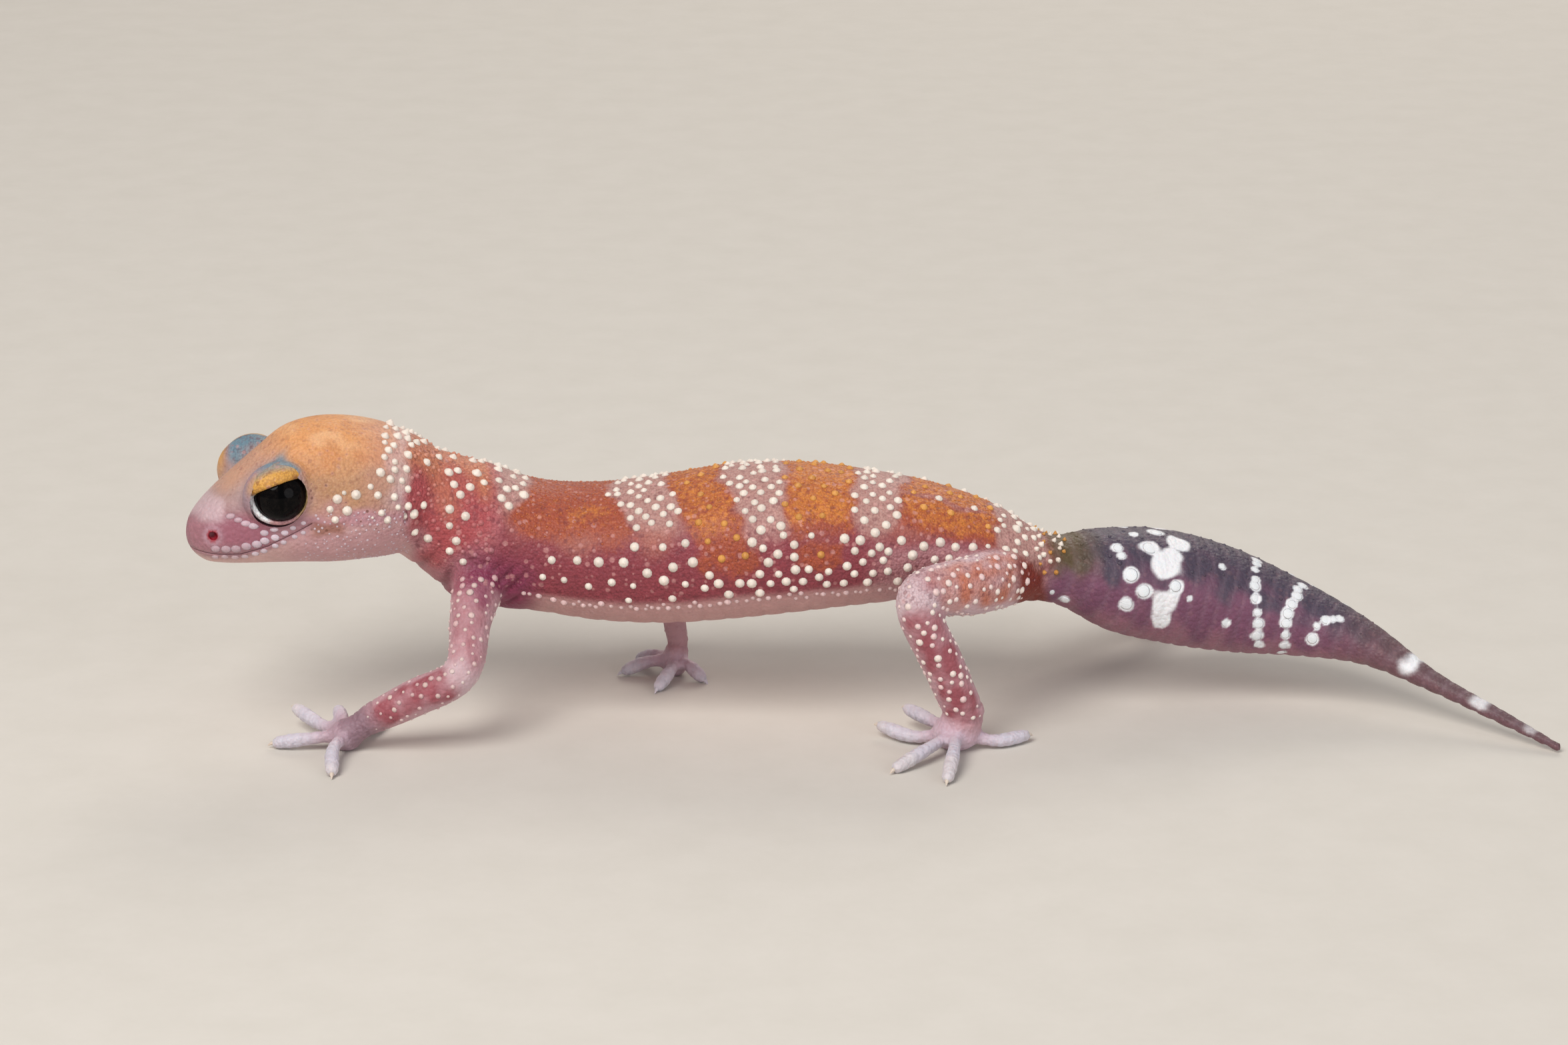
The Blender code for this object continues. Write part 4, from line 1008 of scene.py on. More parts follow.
# %% Shared node groups
def new_group(name, inputs, outputs):
    """A shader node group with named sockets, and its two end nodes."""
    group = bpy.data.node_groups.new(name, "ShaderNodeTree")
    for label, value in inputs.items():
        socket = group.interface.new_socket(label, in_out="INPUT", socket_type="NodeSocketFloat")
        socket.default_value = value
    for label in outputs:
        group.interface.new_socket(label, in_out="OUTPUT", socket_type="NodeSocketFloat")
    return group, group.nodes.new("NodeGroupInput"), group.nodes.new("NodeGroupOutput")


def fill(tree, target, values):
    """Gives a node's inputs their values: a socket is linked, anything else is set."""
    for key, value in values.items():
        if isinstance(value, bpy.types.NodeSocket):
            tree.links.new(value, target.inputs[key])
        else:
            target.inputs[key].default_value = value


def node(tree, kind, settings=None, values=None):
    """Adds a node with its settings, and fills its inputs."""
    made = tree.nodes.new(kind)
    for key, value in (settings or {}).items():
        setattr(made, key, value)
    fill(tree, made, values or {})
    return made


def maths(tree, operation, first, second):
    """A Math node on two sockets or numbers; returns its output."""
    return node(tree, "ShaderNodeMath", {"operation": operation}, {0: first, 1: second}).outputs[0]


def times(tree, first, *others):
    """The product of sockets and numbers."""
    for other in others:
        first = maths(tree, "MULTIPLY", first, other)
    return first


def smooth_rise(tree, value, low, high):
    """A smooth rise from 0 at low to 1 at high."""
    values = {"Value": value, "From Min": low, "From Max": high}
    return node(tree, "ShaderNodeMapRange", {"interpolation_type": "SMOOTHSTEP"}, values).outputs["Result"]


def millimetres(tree, size):
    """Object coordinates divided by a size given in millimetres."""
    place = node(tree, "ShaderNodeTexCoord").outputs["Object"]
    values = {0: place, "Scale": maths(tree, "DIVIDE", 1 / MM, size)}
    return node(tree, "ShaderNodeVectorMath", {"operation": "SCALE"}, values).outputs[0]


def build_beads():
    """The fine beads of the skin: their height, and the dark seams between them."""
    group, start, end = new_group("fine_beads", {"Bead Size": 0.2, "Unevenness": 0.8}, ("Height", "Seam"))
    place = millimetres(group, start.outputs["Bead Size"])
    values = {"Scale": 1.0, "Vector": place, "Randomness": start.outputs["Unevenness"]}
    far = node(group, "ShaderNodeTexVoronoi", {"feature": "F1"}, values).outputs["Distance"]
    height = maths(group, "SUBTRACT", 1.0, times(group, far, 1.2))
    fill(group, end, {"Height": height, "Seam": smooth_rise(group, far, 0.45, 0.75)})
    return group


def build_mottle():
    """A mottle of two sizes of noise, from 0 to 1."""
    group, start, end = new_group("mottle", {"Patch Size": 1.0, "Grain": 0.5}, ("Value",))
    place = millimetres(group, start.outputs["Patch Size"])
    broad = node(group, "ShaderNodeTexNoise", None, {"Vector": place, "Scale": 1.0, "Detail": 3.0})
    fine = node(group, "ShaderNodeTexNoise", None, {"Vector": place, "Scale": 6.0, "Detail": 2.0})
    spread = times(group, maths(group, "SUBTRACT", fine.outputs["Fac"], 0.5), start.outputs["Grain"])
    fill(group, end, {"Value": maths(group, "ADD", broad.outputs["Fac"], spread)})
    return group


def build_specks():
    """Scattered round specks, each in a cell of its own; only a share of the cells has one."""
    group, start, end = new_group("specks", {"Spacing": 1.0, "Spot Size": 0.2, "Share": 0.5}, ("Value",))
    values = {"Scale": 1.0, "Randomness": 0.9, "Vector": millimetres(group, start.outputs["Spacing"])}
    cells = node(group, "ShaderNodeTexVoronoi", {"feature": "F1"}, values).outputs
    draw = node(group, "ShaderNodeSeparateColor", None, {0: cells["Color"]}).outputs
    chosen = maths(group, "LESS_THAN", draw[0], start.outputs["Share"])
    reach = times(group, start.outputs["Spot Size"], maths(group, "ADD", draw[1], 0.5))
    edge = maths(group, "SUBTRACT", 1.0, maths(group, "DIVIDE", cells["Distance"], reach))
    soft = maths(group, "MINIMUM", maths(group, "MAXIMUM", times(group, edge, 2.5), 0.0), 1.0)
    fill(group, end, {"Value": times(group, soft, chosen)})
    return group


FINE_BEADS = build_beads()
MOTTLE = build_mottle()
SPECKS = build_specks()
print("node groups:", FINE_BEADS.name, MOTTLE.name, SPECKS.name)

# %% [markdown]
# ## The skin's finish
# Living skin is colour in layers. The soft tone lies at the bottom; orange and lavender markings lie
# over it with ragged edges, because a mottle is added to each marking before it is cut off; then come
# dark seams between beads and small brown freckles. A little light passes through the flesh, and the
# gloss changes from bead to bead, so the skin looks moist and not varnished.


# %% Helpers for finishes
def new_material(name):
    """A material with its tree and its shader."""
    made = bpy.data.materials.new(name)
    made.use_nodes = True
    return made, made.node_tree, made.node_tree.nodes["Principled BSDF"]


def placed(tree, group, values):
    """Places a node group with its values; returns its outputs."""
    return node(tree, "ShaderNodeGroup", {"node_tree": group}, values).outputs


def read(tree, name, output="Fac"):
    """An attribute of the mesh; Fac for a number, Color for a colour."""
    return node(tree, "ShaderNodeAttribute", {"attribute_name": name}).outputs[output]


def blend(tree, below, above, share, way="MIX"):
    """Mixes two colours by a share; each may be a socket or a plain tone."""
    below, above = (c if isinstance(c, bpy.types.NodeSocket) else (*c, 1.0) for c in (below, above))
    values = {0: share, 6: below, 7: above}
    return node(tree, "ShaderNodeMix", {"data_type": "RGBA", "blend_type": way}, values).outputs[2]


def ragged(tree, mask, mottle, reach, low, high):
    """A mask with a mottle added, cut off between two values for a ragged edge."""
    shaken = maths(tree, "ADD", mask, times(tree, maths(tree, "SUBTRACT", mottle, 0.5), reach))
    return smooth_rise(tree, shaken, low, high)


def ranged(tree, value, low, high, to_low, to_high):
    """A value carried from one range to another."""
    values = {"Value": value, "From Min": low, "From Max": high, "To Min": to_low, "To Max": to_high}
    return node(tree, "ShaderNodeMapRange", None, values).outputs["Result"]


def bump(tree, height, strength, distance, below=None):
    """A Bump node over an optional one below; returns its normal."""
    values = {"Strength": strength, "Distance": distance * MM, "Height": height}
    if below is not None:
        values["Normal"] = below
    return node(tree, "ShaderNodeBump", None, values).outputs["Normal"]


print("helpers ready")

# %% Skin finish
SADDLE_RUST = tone(162, 74, 46)
SADDLE_GOLD = tone(206, 124, 48)
PALE_LAVENDER = tone(184, 143, 136)
PORCELAIN = tone(236, 236, 240)
FRECKLE_BROWN = tone(96, 50, 34)
SEAM_RED = tone(104, 34, 48)
GRAIN_PINK = tone(216, 160, 156)


def skin_finish():
    """The skin of the whole animal."""
    made, tree, shader = new_material("gecko_skin")
    beads = placed(tree, FINE_BEADS, {"Bead Size": 0.24, "Unevenness": 0.85})
    grains = placed(tree, FINE_BEADS, {"Bead Size": 0.42, "Unevenness": 1.0})["Height"]
    broad = placed(tree, MOTTLE, {"Patch Size": 1.8, "Grain": 0.4})["Value"]
    small = placed(tree, MOTTLE, {"Patch Size": 0.5, "Grain": 0.5})["Value"]
    rest = maths(tree, "SUBTRACT", 1.0, read(tree, "smoothness"))
    golden = ragged(tree, read(tree, "gold"), small, 1.2, 0.2, 0.95)
    orange = blend(tree, SADDLE_RUST, SADDLE_GOLD, golden)
    saddles = ragged(tree, read(tree, "saddle"), small, 0.55, 0.18, 0.82)
    colour = blend(tree, read(tree, "tone", "Color"), orange, saddles)
    bands = times(tree, ragged(tree, read(tree, "pale"), small, 0.5, 0.15, 0.9), 0.85)
    colour = blend(tree, colour, PALE_LAVENDER, bands)
    colour = blend(tree, colour, SEAM_RED, times(tree, beads["Seam"], 0.3, rest))
    light = times(tree, ragged(tree, broad, small, 0.7, 0.48, 0.8), 0.25)
    colour = blend(tree, colour, (1.0, 0.9, 0.88), light, "SOFT_LIGHT")
    dark = placed(tree, SPECKS, {"Spacing": 0.55, "Spot Size": 0.42, "Share": 0.35})["Value"]
    colour = blend(tree, colour, SEAM_RED, times(tree, dark, 0.42, rest))
    pale_grain = placed(tree, SPECKS, {"Spacing": 0.62, "Spot Size": 0.36, "Share": 0.4})["Value"]
    colour = blend(tree, colour, GRAIN_PINK, times(tree, pale_grain, 0.4, rest))
    # The tops of the coarse grains are painted lighter: partly their own paler tips, partly a painted sheen.
    glow = times(tree, rest, ranged(tree, grains, 0.55, 1.0, 0.0, 0.3))
    colour = blend(tree, colour, (1.0, 0.94, 0.92), glow, "SOFT_LIGHT")
    freckles = placed(tree, SPECKS, {"Spacing": 0.62, "Spot Size": 0.22, "Share": 0.4})["Value"]
    colour = blend(tree, colour, FRECKLE_BROWN, times(tree, freckles, read(tree, "freckle"), 0.75))
    colour = blend(tree, colour, PORCELAIN, ragged(tree, read(tree, "white"), small, 0.25, 0.15, 0.85))
    # Painted shade in the folds: the colour darkens where the skin sinks deepest.
    colour = blend(tree, colour, SEAM_RED, times(tree, read(tree, "fold"), 0.3))
    depth = times(tree, beads["Height"], ranged(tree, rest, 0, 1, 0.35, 1.0))
    coarse = bump(tree, grains, 0.55, 0.14, bump(tree, depth, 0.7, 0.08))
    fill(tree, shader, {
        "Base Color": colour, "Roughness": ranged(tree, beads["Height"], 0.3, 1.0, 0.6, 0.4),
        "Normal": bump(tree, broad, 0.3, 0.12, coarse), "Subsurface Weight": 0.18,
        "Subsurface Radius": (1.0, 0.45, 0.35), "Subsurface Scale": 0.7 * MM,
        "Coat Weight": 0.08, "Coat Roughness": 0.3})
    return made


SKIN_FINISH = skin_finish()
skin.data.materials.clear()
skin.data.materials.append(SKIN_FINISH)
skin.data.shade_smooth()
print("skin finish:", len(SKIN_FINISH.node_tree.nodes), "nodes")

# %% [markdown]
# ## The eyes
# A gecko's eye has no moving lid over it but a clear, glossy cap. In daylight the iris is so dark that
# the ball looks black, with a narrow upright slit just visible. The ball is a fine sphere whose pole
# is the gaze, so that slit and iris are numbers on its points. A thin clear coat gives the wet shine.

# %% Eyes
EYE_SEGMENTS = 64
# Over which heights above the ball's middle the iris begins, and half the slit's width and height, all as
# shares of the radius
IRIS_EDGE, SLIT_WIDE, SLIT_HIGH = (0.5, 0.62), 0.09, 0.62


def head_way(d, e, z):
    """A direction of the head's frame, in the model's frame."""
    return head_point(d, e, z) - head_point(0, 0, 0)


def gaze(side):
    """The direction in which an eye looks."""
    d, e, z = EYE_GAZES[side]
    return head_way(d, side * e, z).normalized()


def eye_frame(side):
    """The eye's gaze, the direction across it, and the one up it."""
    look = gaze(side)
    across = look.cross(Vector((0, 0, 1))).normalized()
    return look, across, across.cross(look)


def eye_finish():
    """The near-black, wet eye."""
    made, tree, shader = new_material("eye_glass")
    threads = placed(tree, MOTTLE, {"Patch Size": 0.35, "Grain": 0.8})["Value"]
    iris = blend(tree, tone(6, 5, 6), tone(18, 14, 13), ragged(tree, threads, threads, 0.6, 0.45, 0.75))
    colour = blend(tree, tone(8, 7, 8), iris, read(tree, "iris"))
    colour = blend(tree, colour, tone(2, 2, 3), read(tree, "slit"))
    fill(tree, shader, {
        "Base Color": colour, "Roughness": ranged(tree, threads, 0.3, 0.7, 0.05, 0.12),
        "Specular IOR Level": 0.05, "Coat Weight": 0.05, "Coat Roughness": 0.03})
    return made


def make_eye(name, side):
    """An eyeball with its iris and slit."""
    look, across, up = eye_frame(side)
    shape = bmesh.new()
    rows, radius = EYE_SEGMENTS // 2, EYE_RADIUS * MM
    bmesh.ops.create_uvsphere(shape, u_segments=EYE_SEGMENTS, v_segments=rows, radius=radius)
    turn = Matrix((across, up, look)).transposed().to_4x4()
    shape.transform(Matrix.Translation((eye_centre(side) - CENTRE) * MM) @ turn)
    ball = add_object(name, shape)
    offset = mesh_points(ball.data) - np.array(eye_centre(side) - CENTRE)
    forward, wide, tall = (offset @ np.array(axis) / EYE_RADIUS for axis in (look, across, up))
    store(ball.data, "iris", step(forward, *IRIS_EDGE))
    half = SLIT_WIDE * np.sqrt(np.clip(1 - (tall / SLIT_HIGH) ** 2, 0, 1))
    store(ball.data, "slit", (1 - step(np.abs(wide), half, half + 0.03)) * step(forward, 0.3, 0.4))
    ball.data.materials.append(EYE_FINISH)
    ball.data.shade_smooth()
    return ball


EYE_FINISH = eye_finish()
eyes = {name: make_eye(name + "_ball", side) for name, side in (("left_eye", 1), ("right_eye", -1))}
print("eyes:", ", ".join(eyes))

# %% [markdown]
# ## The rims of the eyes
# A fold of skin hugs the eyeball all round. Above, it comes down as a thick brow-like hood whose edge
# rises towards the back; in front and below it is a thin pale crescent. The fold is drawn as a rounded
# lip that runs round the gaze. Its inner edge is a circle, cut off above by the lid's slanting plane,
# which gives the eye its corners.

# %% Eye rims
RIM_ANGLE = math.radians(70)
# How far each fold reaches back over the ball; the right one stands higher, so it covers more
RIM_SPREADS = {1: math.radians(34), -1: math.radians(84)}
RIM_COLUMNS = 96
# Section of the fold from its inner edge over its crest and back underneath: share of its width, height
RIM_SECTION = [(0.0, 0.02), (-0.02, 0.14), (0.02, 0.27), (0.1, 0.36), (0.22, 0.41), (0.4, 0.42), (0.6, 0.38),
               (0.8, 0.28), (1.0, 0.12), (1.02, -0.1), (0.7, -0.12), (0.35, -0.1), (0.1, -0.06)]


def lid_edge(side, turn):
    """How far from the gaze the fold's inner edge lies, at an angle round the eye."""
    look, across, up = eye_frame(side)
    back_axis, out_axis = head_way(1, 0, 0), head_way(0, side, 0)
    out = across * math.sin(turn) + up * math.cos(turn)
    for swing in np.linspace(0.05, RIM_ANGLE, 60):
        spot = (look * math.cos(swing) + out * math.sin(swing)) * EYE_RADIUS
        line = LID_LINE + LID_RISE_BACK * spot.dot(back_axis) + LID_RISE_OUT * spot.dot(out_axis)
        if spot.z > line:
            return float(swing)
    return RIM_ANGLE


def eye_rim(name, side):
    """The fold of skin round one eye, as a closed ring."""
    look, across, up = eye_frame(side)
    turns = [2 * math.pi * i / RIM_COLUMNS for i in range(RIM_COLUMNS)]
    edges = np.array([lid_edge(side, turn) for turn in turns])
    for _ in range(2):
        edges = (np.roll(edges, 1) + 2 * edges + np.roll(edges, -1)) / 4
    front = head_way(-1, 0, 0)
    shape = bmesh.new()
    rows, hoods = [], []
    for turn, edge in zip(turns, edges):
        out = across * math.sin(turn) + up * math.cos(turn)
        spread = RIM_ANGLE + RIM_SPREADS[side] - edge
        hood = (RIM_ANGLE - edge) / RIM_ANGLE
        # The fold is thickest in its hood, and on the left also in front of the ball
        swell = 0.7 + 1.1 * hood + 0.6 * max(0.0, out.dot(front)) ** 2 if side > 0 else 1.15 + hood
        ring = []
        for share, lift in RIM_SECTION:
            swing = edge + share * spread
            radius = EYE_RADIUS + lift * swell
            spot = eye_centre(side) - CENTRE + (look * math.cos(swing) + out * math.sin(swing)) * radius
            ring.append(shape.verts.new(spot * MM))
            hoods.append(hood)
        rows.append(ring)
    size = len(RIM_SECTION)
    for first, second in zip(rows, rows[1:] + rows[:1]):
        for k in range(size):
            n = (k + 1) % size
            shape.faces.new((first[k], first[n], second[n], second[k]))
    bmesh.ops.recalc_face_normals(shape, faces=shape.faces)
    return add_object(name, shape), np.array(hoods)


rims = {name: eye_rim(name + "_rim", side) for name, side in (("left", 1), ("right", -1))}
print("rims:", ", ".join(rims))

# %% [markdown]
# The rim takes the same skin finish as the rest, with tones of its own: orange on the hood, whitish on
# the crescent in front, yellowish behind, so it needs no material of its own.

# %% Tones of the rims
TONES["rim"] = tone(246, 246, 250)
TONES["rim_back"] = tone(196, 162, 108)


def rim_tones(side, hoods, at):
    """Tone of each point of a rim: its edge towards the eye, then the skin behind it."""
    made = lay(
        plain("rim", at),
        ("lilac", step(at.d, EYE_D - 1.7, EYE_D - 0.9)),
        ("rim_back", step(at.d, EYE_D + 0.8, EYE_D + 1.8)),
        ("lid", step(hoods, 0.02, 0.12)))
    out = at.points - np.array(eye_centre(side))
    swing = np.degrees(np.arccos(np.clip(out @ np.array(gaze(side)) / np.linalg.norm(out, axis=1), -1, 1)))
    if side < 0:
        return fade(made, skin_tones(at), step(swing, 72.0, 80.0))
    beyond = swing - math.degrees(RIM_ANGLE) * (1 - hoods)
    return lay(made, ("brow", 0.7 * step(hoods, 0.05, 0.15) * step(beyond, 24.0, 32.0)))


for side, (rim, hoods) in zip((1, -1), rims.values()):
    rim_map = body_map(mesh_points(rim.data) + np.array(CENTRE))
    store(rim.data, "tone", with_alpha(rim_tones(side, hoods, rim_map)))
    store(rim.data, "freckle", 0.5 * step(hoods, 0.02, 0.1))
    rim.data.materials.append(SKIN_FINISH)
    rim.data.shade_smooth()
print("rims dressed")

# %% [markdown]
# ## A tree that sets raised scales
# Every raised scale, from the porcelain buttons of the flank to the tiny grains of the jowls, is one
# low dome set on one point. Geometry Nodes do this well: a small cone is rounded into a dome once, put
# on each point, turned to the skin's normal, and made real. The points carry a size, a tone and the
# place of their root on a flat map of the skin.


# %% The raised-scale tree
def named(tree, name):
    """Reads a vector of the points inside a geometry tree."""
    kind = {"data_type": "FLOAT_VECTOR"}
    return node(tree, "GeometryNodeInputNamedAttribute", kind, {"Name": name}).outputs["Attribute"]


def keep_value(tree, geometry, name, kind, domain, value):
    """Stores a named attribute in a geometry tree."""
    values = {"Name": name, "Geometry": geometry, "Value": value}
    settings = {"data_type": kind, "domain": domain}
    return node(tree, "GeometryNodeStoreNamedAttribute", settings, values).outputs["Geometry"]


def position(tree):
    """Where the points lie, inside a geometry tree."""
    return node(tree, "GeometryNodeInputPosition").outputs[0]


def dome_profile(tree, peak):
    """Height over the skin of a dome of radius 1, from the distance to its middle."""
    spot = node(tree, "ShaderNodeSeparateXYZ", None, {0: position(tree)}).outputs
    square = maths(tree, "ADD", maths(tree, "POWER", spot["X"], 2), maths(tree, "POWER", spot["Y"], 2))
    dome = maths(tree, "SUBTRACT", 1.0, square)
    point = maths(tree, "SUBTRACT", 1.0, maths(tree, "SQRT", square, 0.0))
    rounder = times(tree, dome, maths(tree, "SUBTRACT", 1.0, peak))
    return spot, maths(tree, "ADD", rounder, times(tree, point, peak))


def build_scale_tree():
    """The geometry tree that sets a dome on each point."""
    tree = bpy.data.node_groups.new("raised_scales", "GeometryNodeTree")
    tree.is_modifier = True
    tree.interface.new_socket("Points", in_out="INPUT", socket_type="NodeSocketGeometry")
    for label, kind, value in (("Sides", "Int", 9), ("Steps", "Int", 4), ("Peak", "Float", 0.3),
                               ("Height", "Float", 0.5), ("Sunk", "Float", 0.15), ("Patch", "Float", 0.003),
                               ("Spin", "Float", 1.0), ("Seed", "Int", 3)):
        socket = tree.interface.new_socket(label, in_out="INPUT", socket_type="NodeSocket" + kind)
        socket.default_value = value
    tree.interface.new_socket("Finish", in_out="INPUT", socket_type="NodeSocketMaterial")
    tree.interface.new_socket("Scales", in_out="OUTPUT", socket_type="NodeSocketGeometry")
    start, end = tree.nodes.new("NodeGroupInput").outputs, tree.nodes.new("NodeGroupOutput")
    cone = node(tree, "GeometryNodeMeshCone", None, {
        "Radius Top": 0.0, "Radius Bottom": 1.0, "Depth": 1.0,
        "Vertices": start["Sides"], "Side Segments": start["Steps"]}).outputs["Mesh"]
    spot, height = dome_profile(tree, start["Peak"])
    level = maths(tree, "SUBTRACT", times(tree, height, start["Height"]), start["Sunk"])
    shaped = node(tree, "ShaderNodeCombineXYZ", None, {"X": spot["X"], "Y": spot["Y"], "Z": level})
    dome = keep_value(tree, cone, "tip", "FLOAT", "POINT", height)
    dome = keep_value(tree, dome, "spread", "FLOAT_VECTOR", "POINT", position(tree))
    moved = node(tree, "GeometryNodeSetPosition", None, {"Geometry": dome, "Position": shaped.outputs[0]})
    stand = node(tree, "FunctionNodeAlignRotationToVector", {"axis": "Z"}, {"Vector": named(tree, "stand")})
    most = node(tree, "ShaderNodeCombineXYZ", None, {"Z": times(tree, start["Spin"], 2 * math.pi)})
    spin = node(tree, "FunctionNodeRandomValue", {"data_type": "FLOAT_VECTOR"}, {
        "Min": (0, 0, 0), "Max": most.outputs[0], "Seed": start["Seed"]})
    spun = node(tree, "FunctionNodeRotateRotation", {"rotation_space": "LOCAL"}, {
        "Rotation": stand.outputs[0], "Rotate By": spin.outputs["Value"]})
    spread = node(tree, "GeometryNodeInstanceOnPoints", None, {
        "Points": start["Points"], "Instance": moved.outputs[0], "Rotation": spun.outputs[0],
        "Scale": named(tree, "size")})
    real = node(tree, "GeometryNodeRealizeInstances", None, {0: spread.outputs[0]})
    patch = node(tree, "ShaderNodeVectorMath", {"operation": "SCALE"}, {
        0: named(tree, "spread"), "Scale": times(tree, start["Patch"], 0.5)})
    place = node(tree, "ShaderNodeVectorMath", {"operation": "ADD"}, {
        0: named(tree, "root"), 1: patch.outputs[0]})
    mapped = keep_value(tree, real.outputs[0], "OFBake", "FLOAT2", "CORNER", place.outputs[0])
    smooth = node(tree, "GeometryNodeSetShadeSmooth", None, {"Geometry": mapped})
    values = {"Geometry": smooth.outputs[0], "Material": start["Finish"]}
    fill(tree, end, {"Scales": node(tree, "GeometryNodeSetMaterial", None, values).outputs[0]})
    return tree


SCALE_TREE = build_scale_tree()
print("scale tree:", len(SCALE_TREE.nodes), "nodes")

# %% [markdown]
# ## The finish of raised scales
# A raised scale has a shade of its own above and takes the colour of the skin at its foot, so it seems
# to grow out of it. Fine beads roughen its sides. One finish serves all scales, because both tones
# come with each point.


# %% Finish of the raised scales
def scale_finish():
    """Raised scales: a shade of their own, and the skin's tone at the foot."""
    made, tree, shader = new_material("raised_scale")
    grain = placed(tree, MOTTLE, {"Patch Size": 0.3, "Grain": 0.7})["Value"]
    beads = placed(tree, FINE_BEADS, {"Bead Size": 0.12, "Unevenness": 1.0})["Height"]
    tip = smooth_rise(tree, read(tree, "tip"), 0.0, 0.14)
    colour = blend(tree, read(tree, "foot", "Color"), read(tree, "shade", "Color"), tip)
    colour = blend(tree, colour, (1.0, 0.97, 0.92), times(tree, grain, 0.3), "SOFT_LIGHT")
    fill(tree, shader, {
        "Base Color": colour, "Roughness": ranged(tree, grain, 0.3, 0.7, 0.36, 0.58),
        "Normal": bump(tree, beads, 0.5, 0.04), "Subsurface Weight": 0.15,
        "Subsurface Radius": (1.0, 0.5, 0.4), "Subsurface Scale": 0.4 * MM})
    return made


SCALE_FINISH = scale_finish()
print("raised-scale finish ready")

# %% [markdown]
# ## Setting the scales
# A scale's place is found by a ray from inside the animal: where it leaves the skin stands a scale,
# along the skin's normal. So no scale floats or sinks, whatever the folds do. Rows are staggered like
# bricks and every scale is a little off its place, which is how they grow.

# %% Casting scales onto the skin
# Each piece's dome: its sides and steps, how pointed its peak is, how high it stands and how deep it is
# sunk as shares of its radius, whether each is turned at random, and the seed of that draw
SHAPE_INPUTS = ("Sides", "Steps", "Peak", "Height", "Sunk", "Spin", "Seed")
SCALE_SHAPES = {
    "back_scales": (10, 4, 0.35, 0.8, 0.1, 1.0, 1), "saddle_grains": (6, 2, 0.2, 0.55, 0.1, 1.0, 8),
    "head_scales": (10, 4, 0.55, 1.05, 0.12, 1.0, 2), "jowl_grains": (6, 2, 0.1, 0.5, 0.1, 1.0, 9),
    "neck_scales": (10, 4, 0.55, 0.9, 0.12, 1.0, 4), "lip_scales": (12, 3, 0.0, 0.42, 0.1, 0.0, 10),
    "limb_scales": (8, 3, 0.35, 0.62, 0.1, 1.0, 5), "tail_scales": (14, 5, 0.0, 0.13, 0.03, 1.0, 6),
    "root_bristles": (8, 3, 0.75, 1.5, 0.12, 1.0, 11), "tail_grains": (7, 2, 0.5, 0.55, 0.12, 1.0, 12),
}
skin_shape = bmesh.new()
skin_shape.from_mesh(skin.data)
skin_tree = BVHTree.FromBMesh(skin_shape)
skin_shape.free()


def cast(aims):
    """Sends rays out to the skin; each aim is start, direction, radius. Returns arrays."""
    spots, stands, sizes = [], [], []
    for start, direction, radius in aims:
        place, normal, _, _ = skin_tree.ray_cast(Vector(start) * MM, Vector(direction).normalized())
        if place is not None:
            spots.append(place / MM)
            stands.append(normal)
            sizes.append(radius)
    return np.array(spots), np.array(stands), np.array(sizes)


def root_map(at):
    """The place of each point on a flat map of the skin, from 0 to 1: trunk, head and four limbs."""
    u, v = 0.02 + 0.96 * np.clip((at.x + 50) / 115, 0, 1), 0.52 + 0.46 * (at.round + 180) / 360
    on_head = at.head > 0.5
    turn = np.arctan2(at.z - 21.5, at.e) / (2 * math.pi) + 0.5
    u = np.where(on_head, 0.02 + 0.36 * np.clip(at.d / 24, 0, 1), u)
    v = np.where(on_head, 0.02 + 0.46 * turn, v)
    on_limb = at.on_limb > 0.5
    u = np.where(on_limb, 0.42 + 0.14 * np.clip(at.limb, 0, 3) + 0.06 * (at.outer + 1), u)
    v = np.where(on_limb, 0.02 + 0.46 * np.clip(at.joint / 6.5, 0, 1), v)
    return np.column_stack([u, v, np.zeros(len(u))])


def spaced(spots, sizes, room=0.9):
    """Marks the scales that keep clear of every earlier one."""
    keep = np.ones(len(spots), dtype=bool)
    for i in range(1, len(spots)):
        near = keep[:i] & (np.linalg.norm(spots[:i] - spots[i], axis=1) < room * (sizes[:i] + sizes[i]))
        keep[i] = not near.any()
    return keep


def set_scales(name, spots, stands, sizes, shades, foot_shades=None):
    """Makes one piece of raised scales from their places, normals, radii and tones."""
    at = body_map(spots)
    cloud = bpy.data.meshes.new(name)
    cloud.from_pydata([tuple(p) for p in (spots - np.array(CENTRE)) * MM], [], [])
    store(cloud, "stand", stands)
    scale = np.repeat(sizes[:, None], 3, 1) if sizes.ndim == 1 else sizes
    store(cloud, "size", scale * MM)
    store(cloud, "shade", with_alpha(shades))
    store(cloud, "foot", with_alpha(skin_tones(at) if foot_shades is None else foot_shades))
    store(cloud, "root", root_map(at))
    made = bpy.data.objects.new(name, cloud)
    bpy.context.scene.collection.objects.link(made)
    grown = made.modifiers.new("scales", "NODES")
    grown.node_group = SCALE_TREE
    names = {item.name: item.identifier for item in SCALE_TREE.interface.items_tree if item.in_out == "INPUT"}
    for label, value in zip((*SHAPE_INPUTS, "Finish"), (*SCALE_SHAPES[name], SCALE_FINISH)):
        grown[names[label]] = value
    apply_modifiers(made)
    print(f"{name}: {len(spots)} scales, {len(made.data.polygons)} faces")
    return made


print("caster ready")

# %% [markdown]
# ## Scales of the back and flanks
# In the pale bands and over the hips the raised scales stand close. On the flanks they stand in loose
# diagonal rows, an animal's own version of brickwork. The saddles are almost smooth, with fine grains
# of their own orange: the first has no scale on top, the others a few golden ones. A rule on the
# markings decides each scale's size and tone, and a scale that would stand on another is left out.

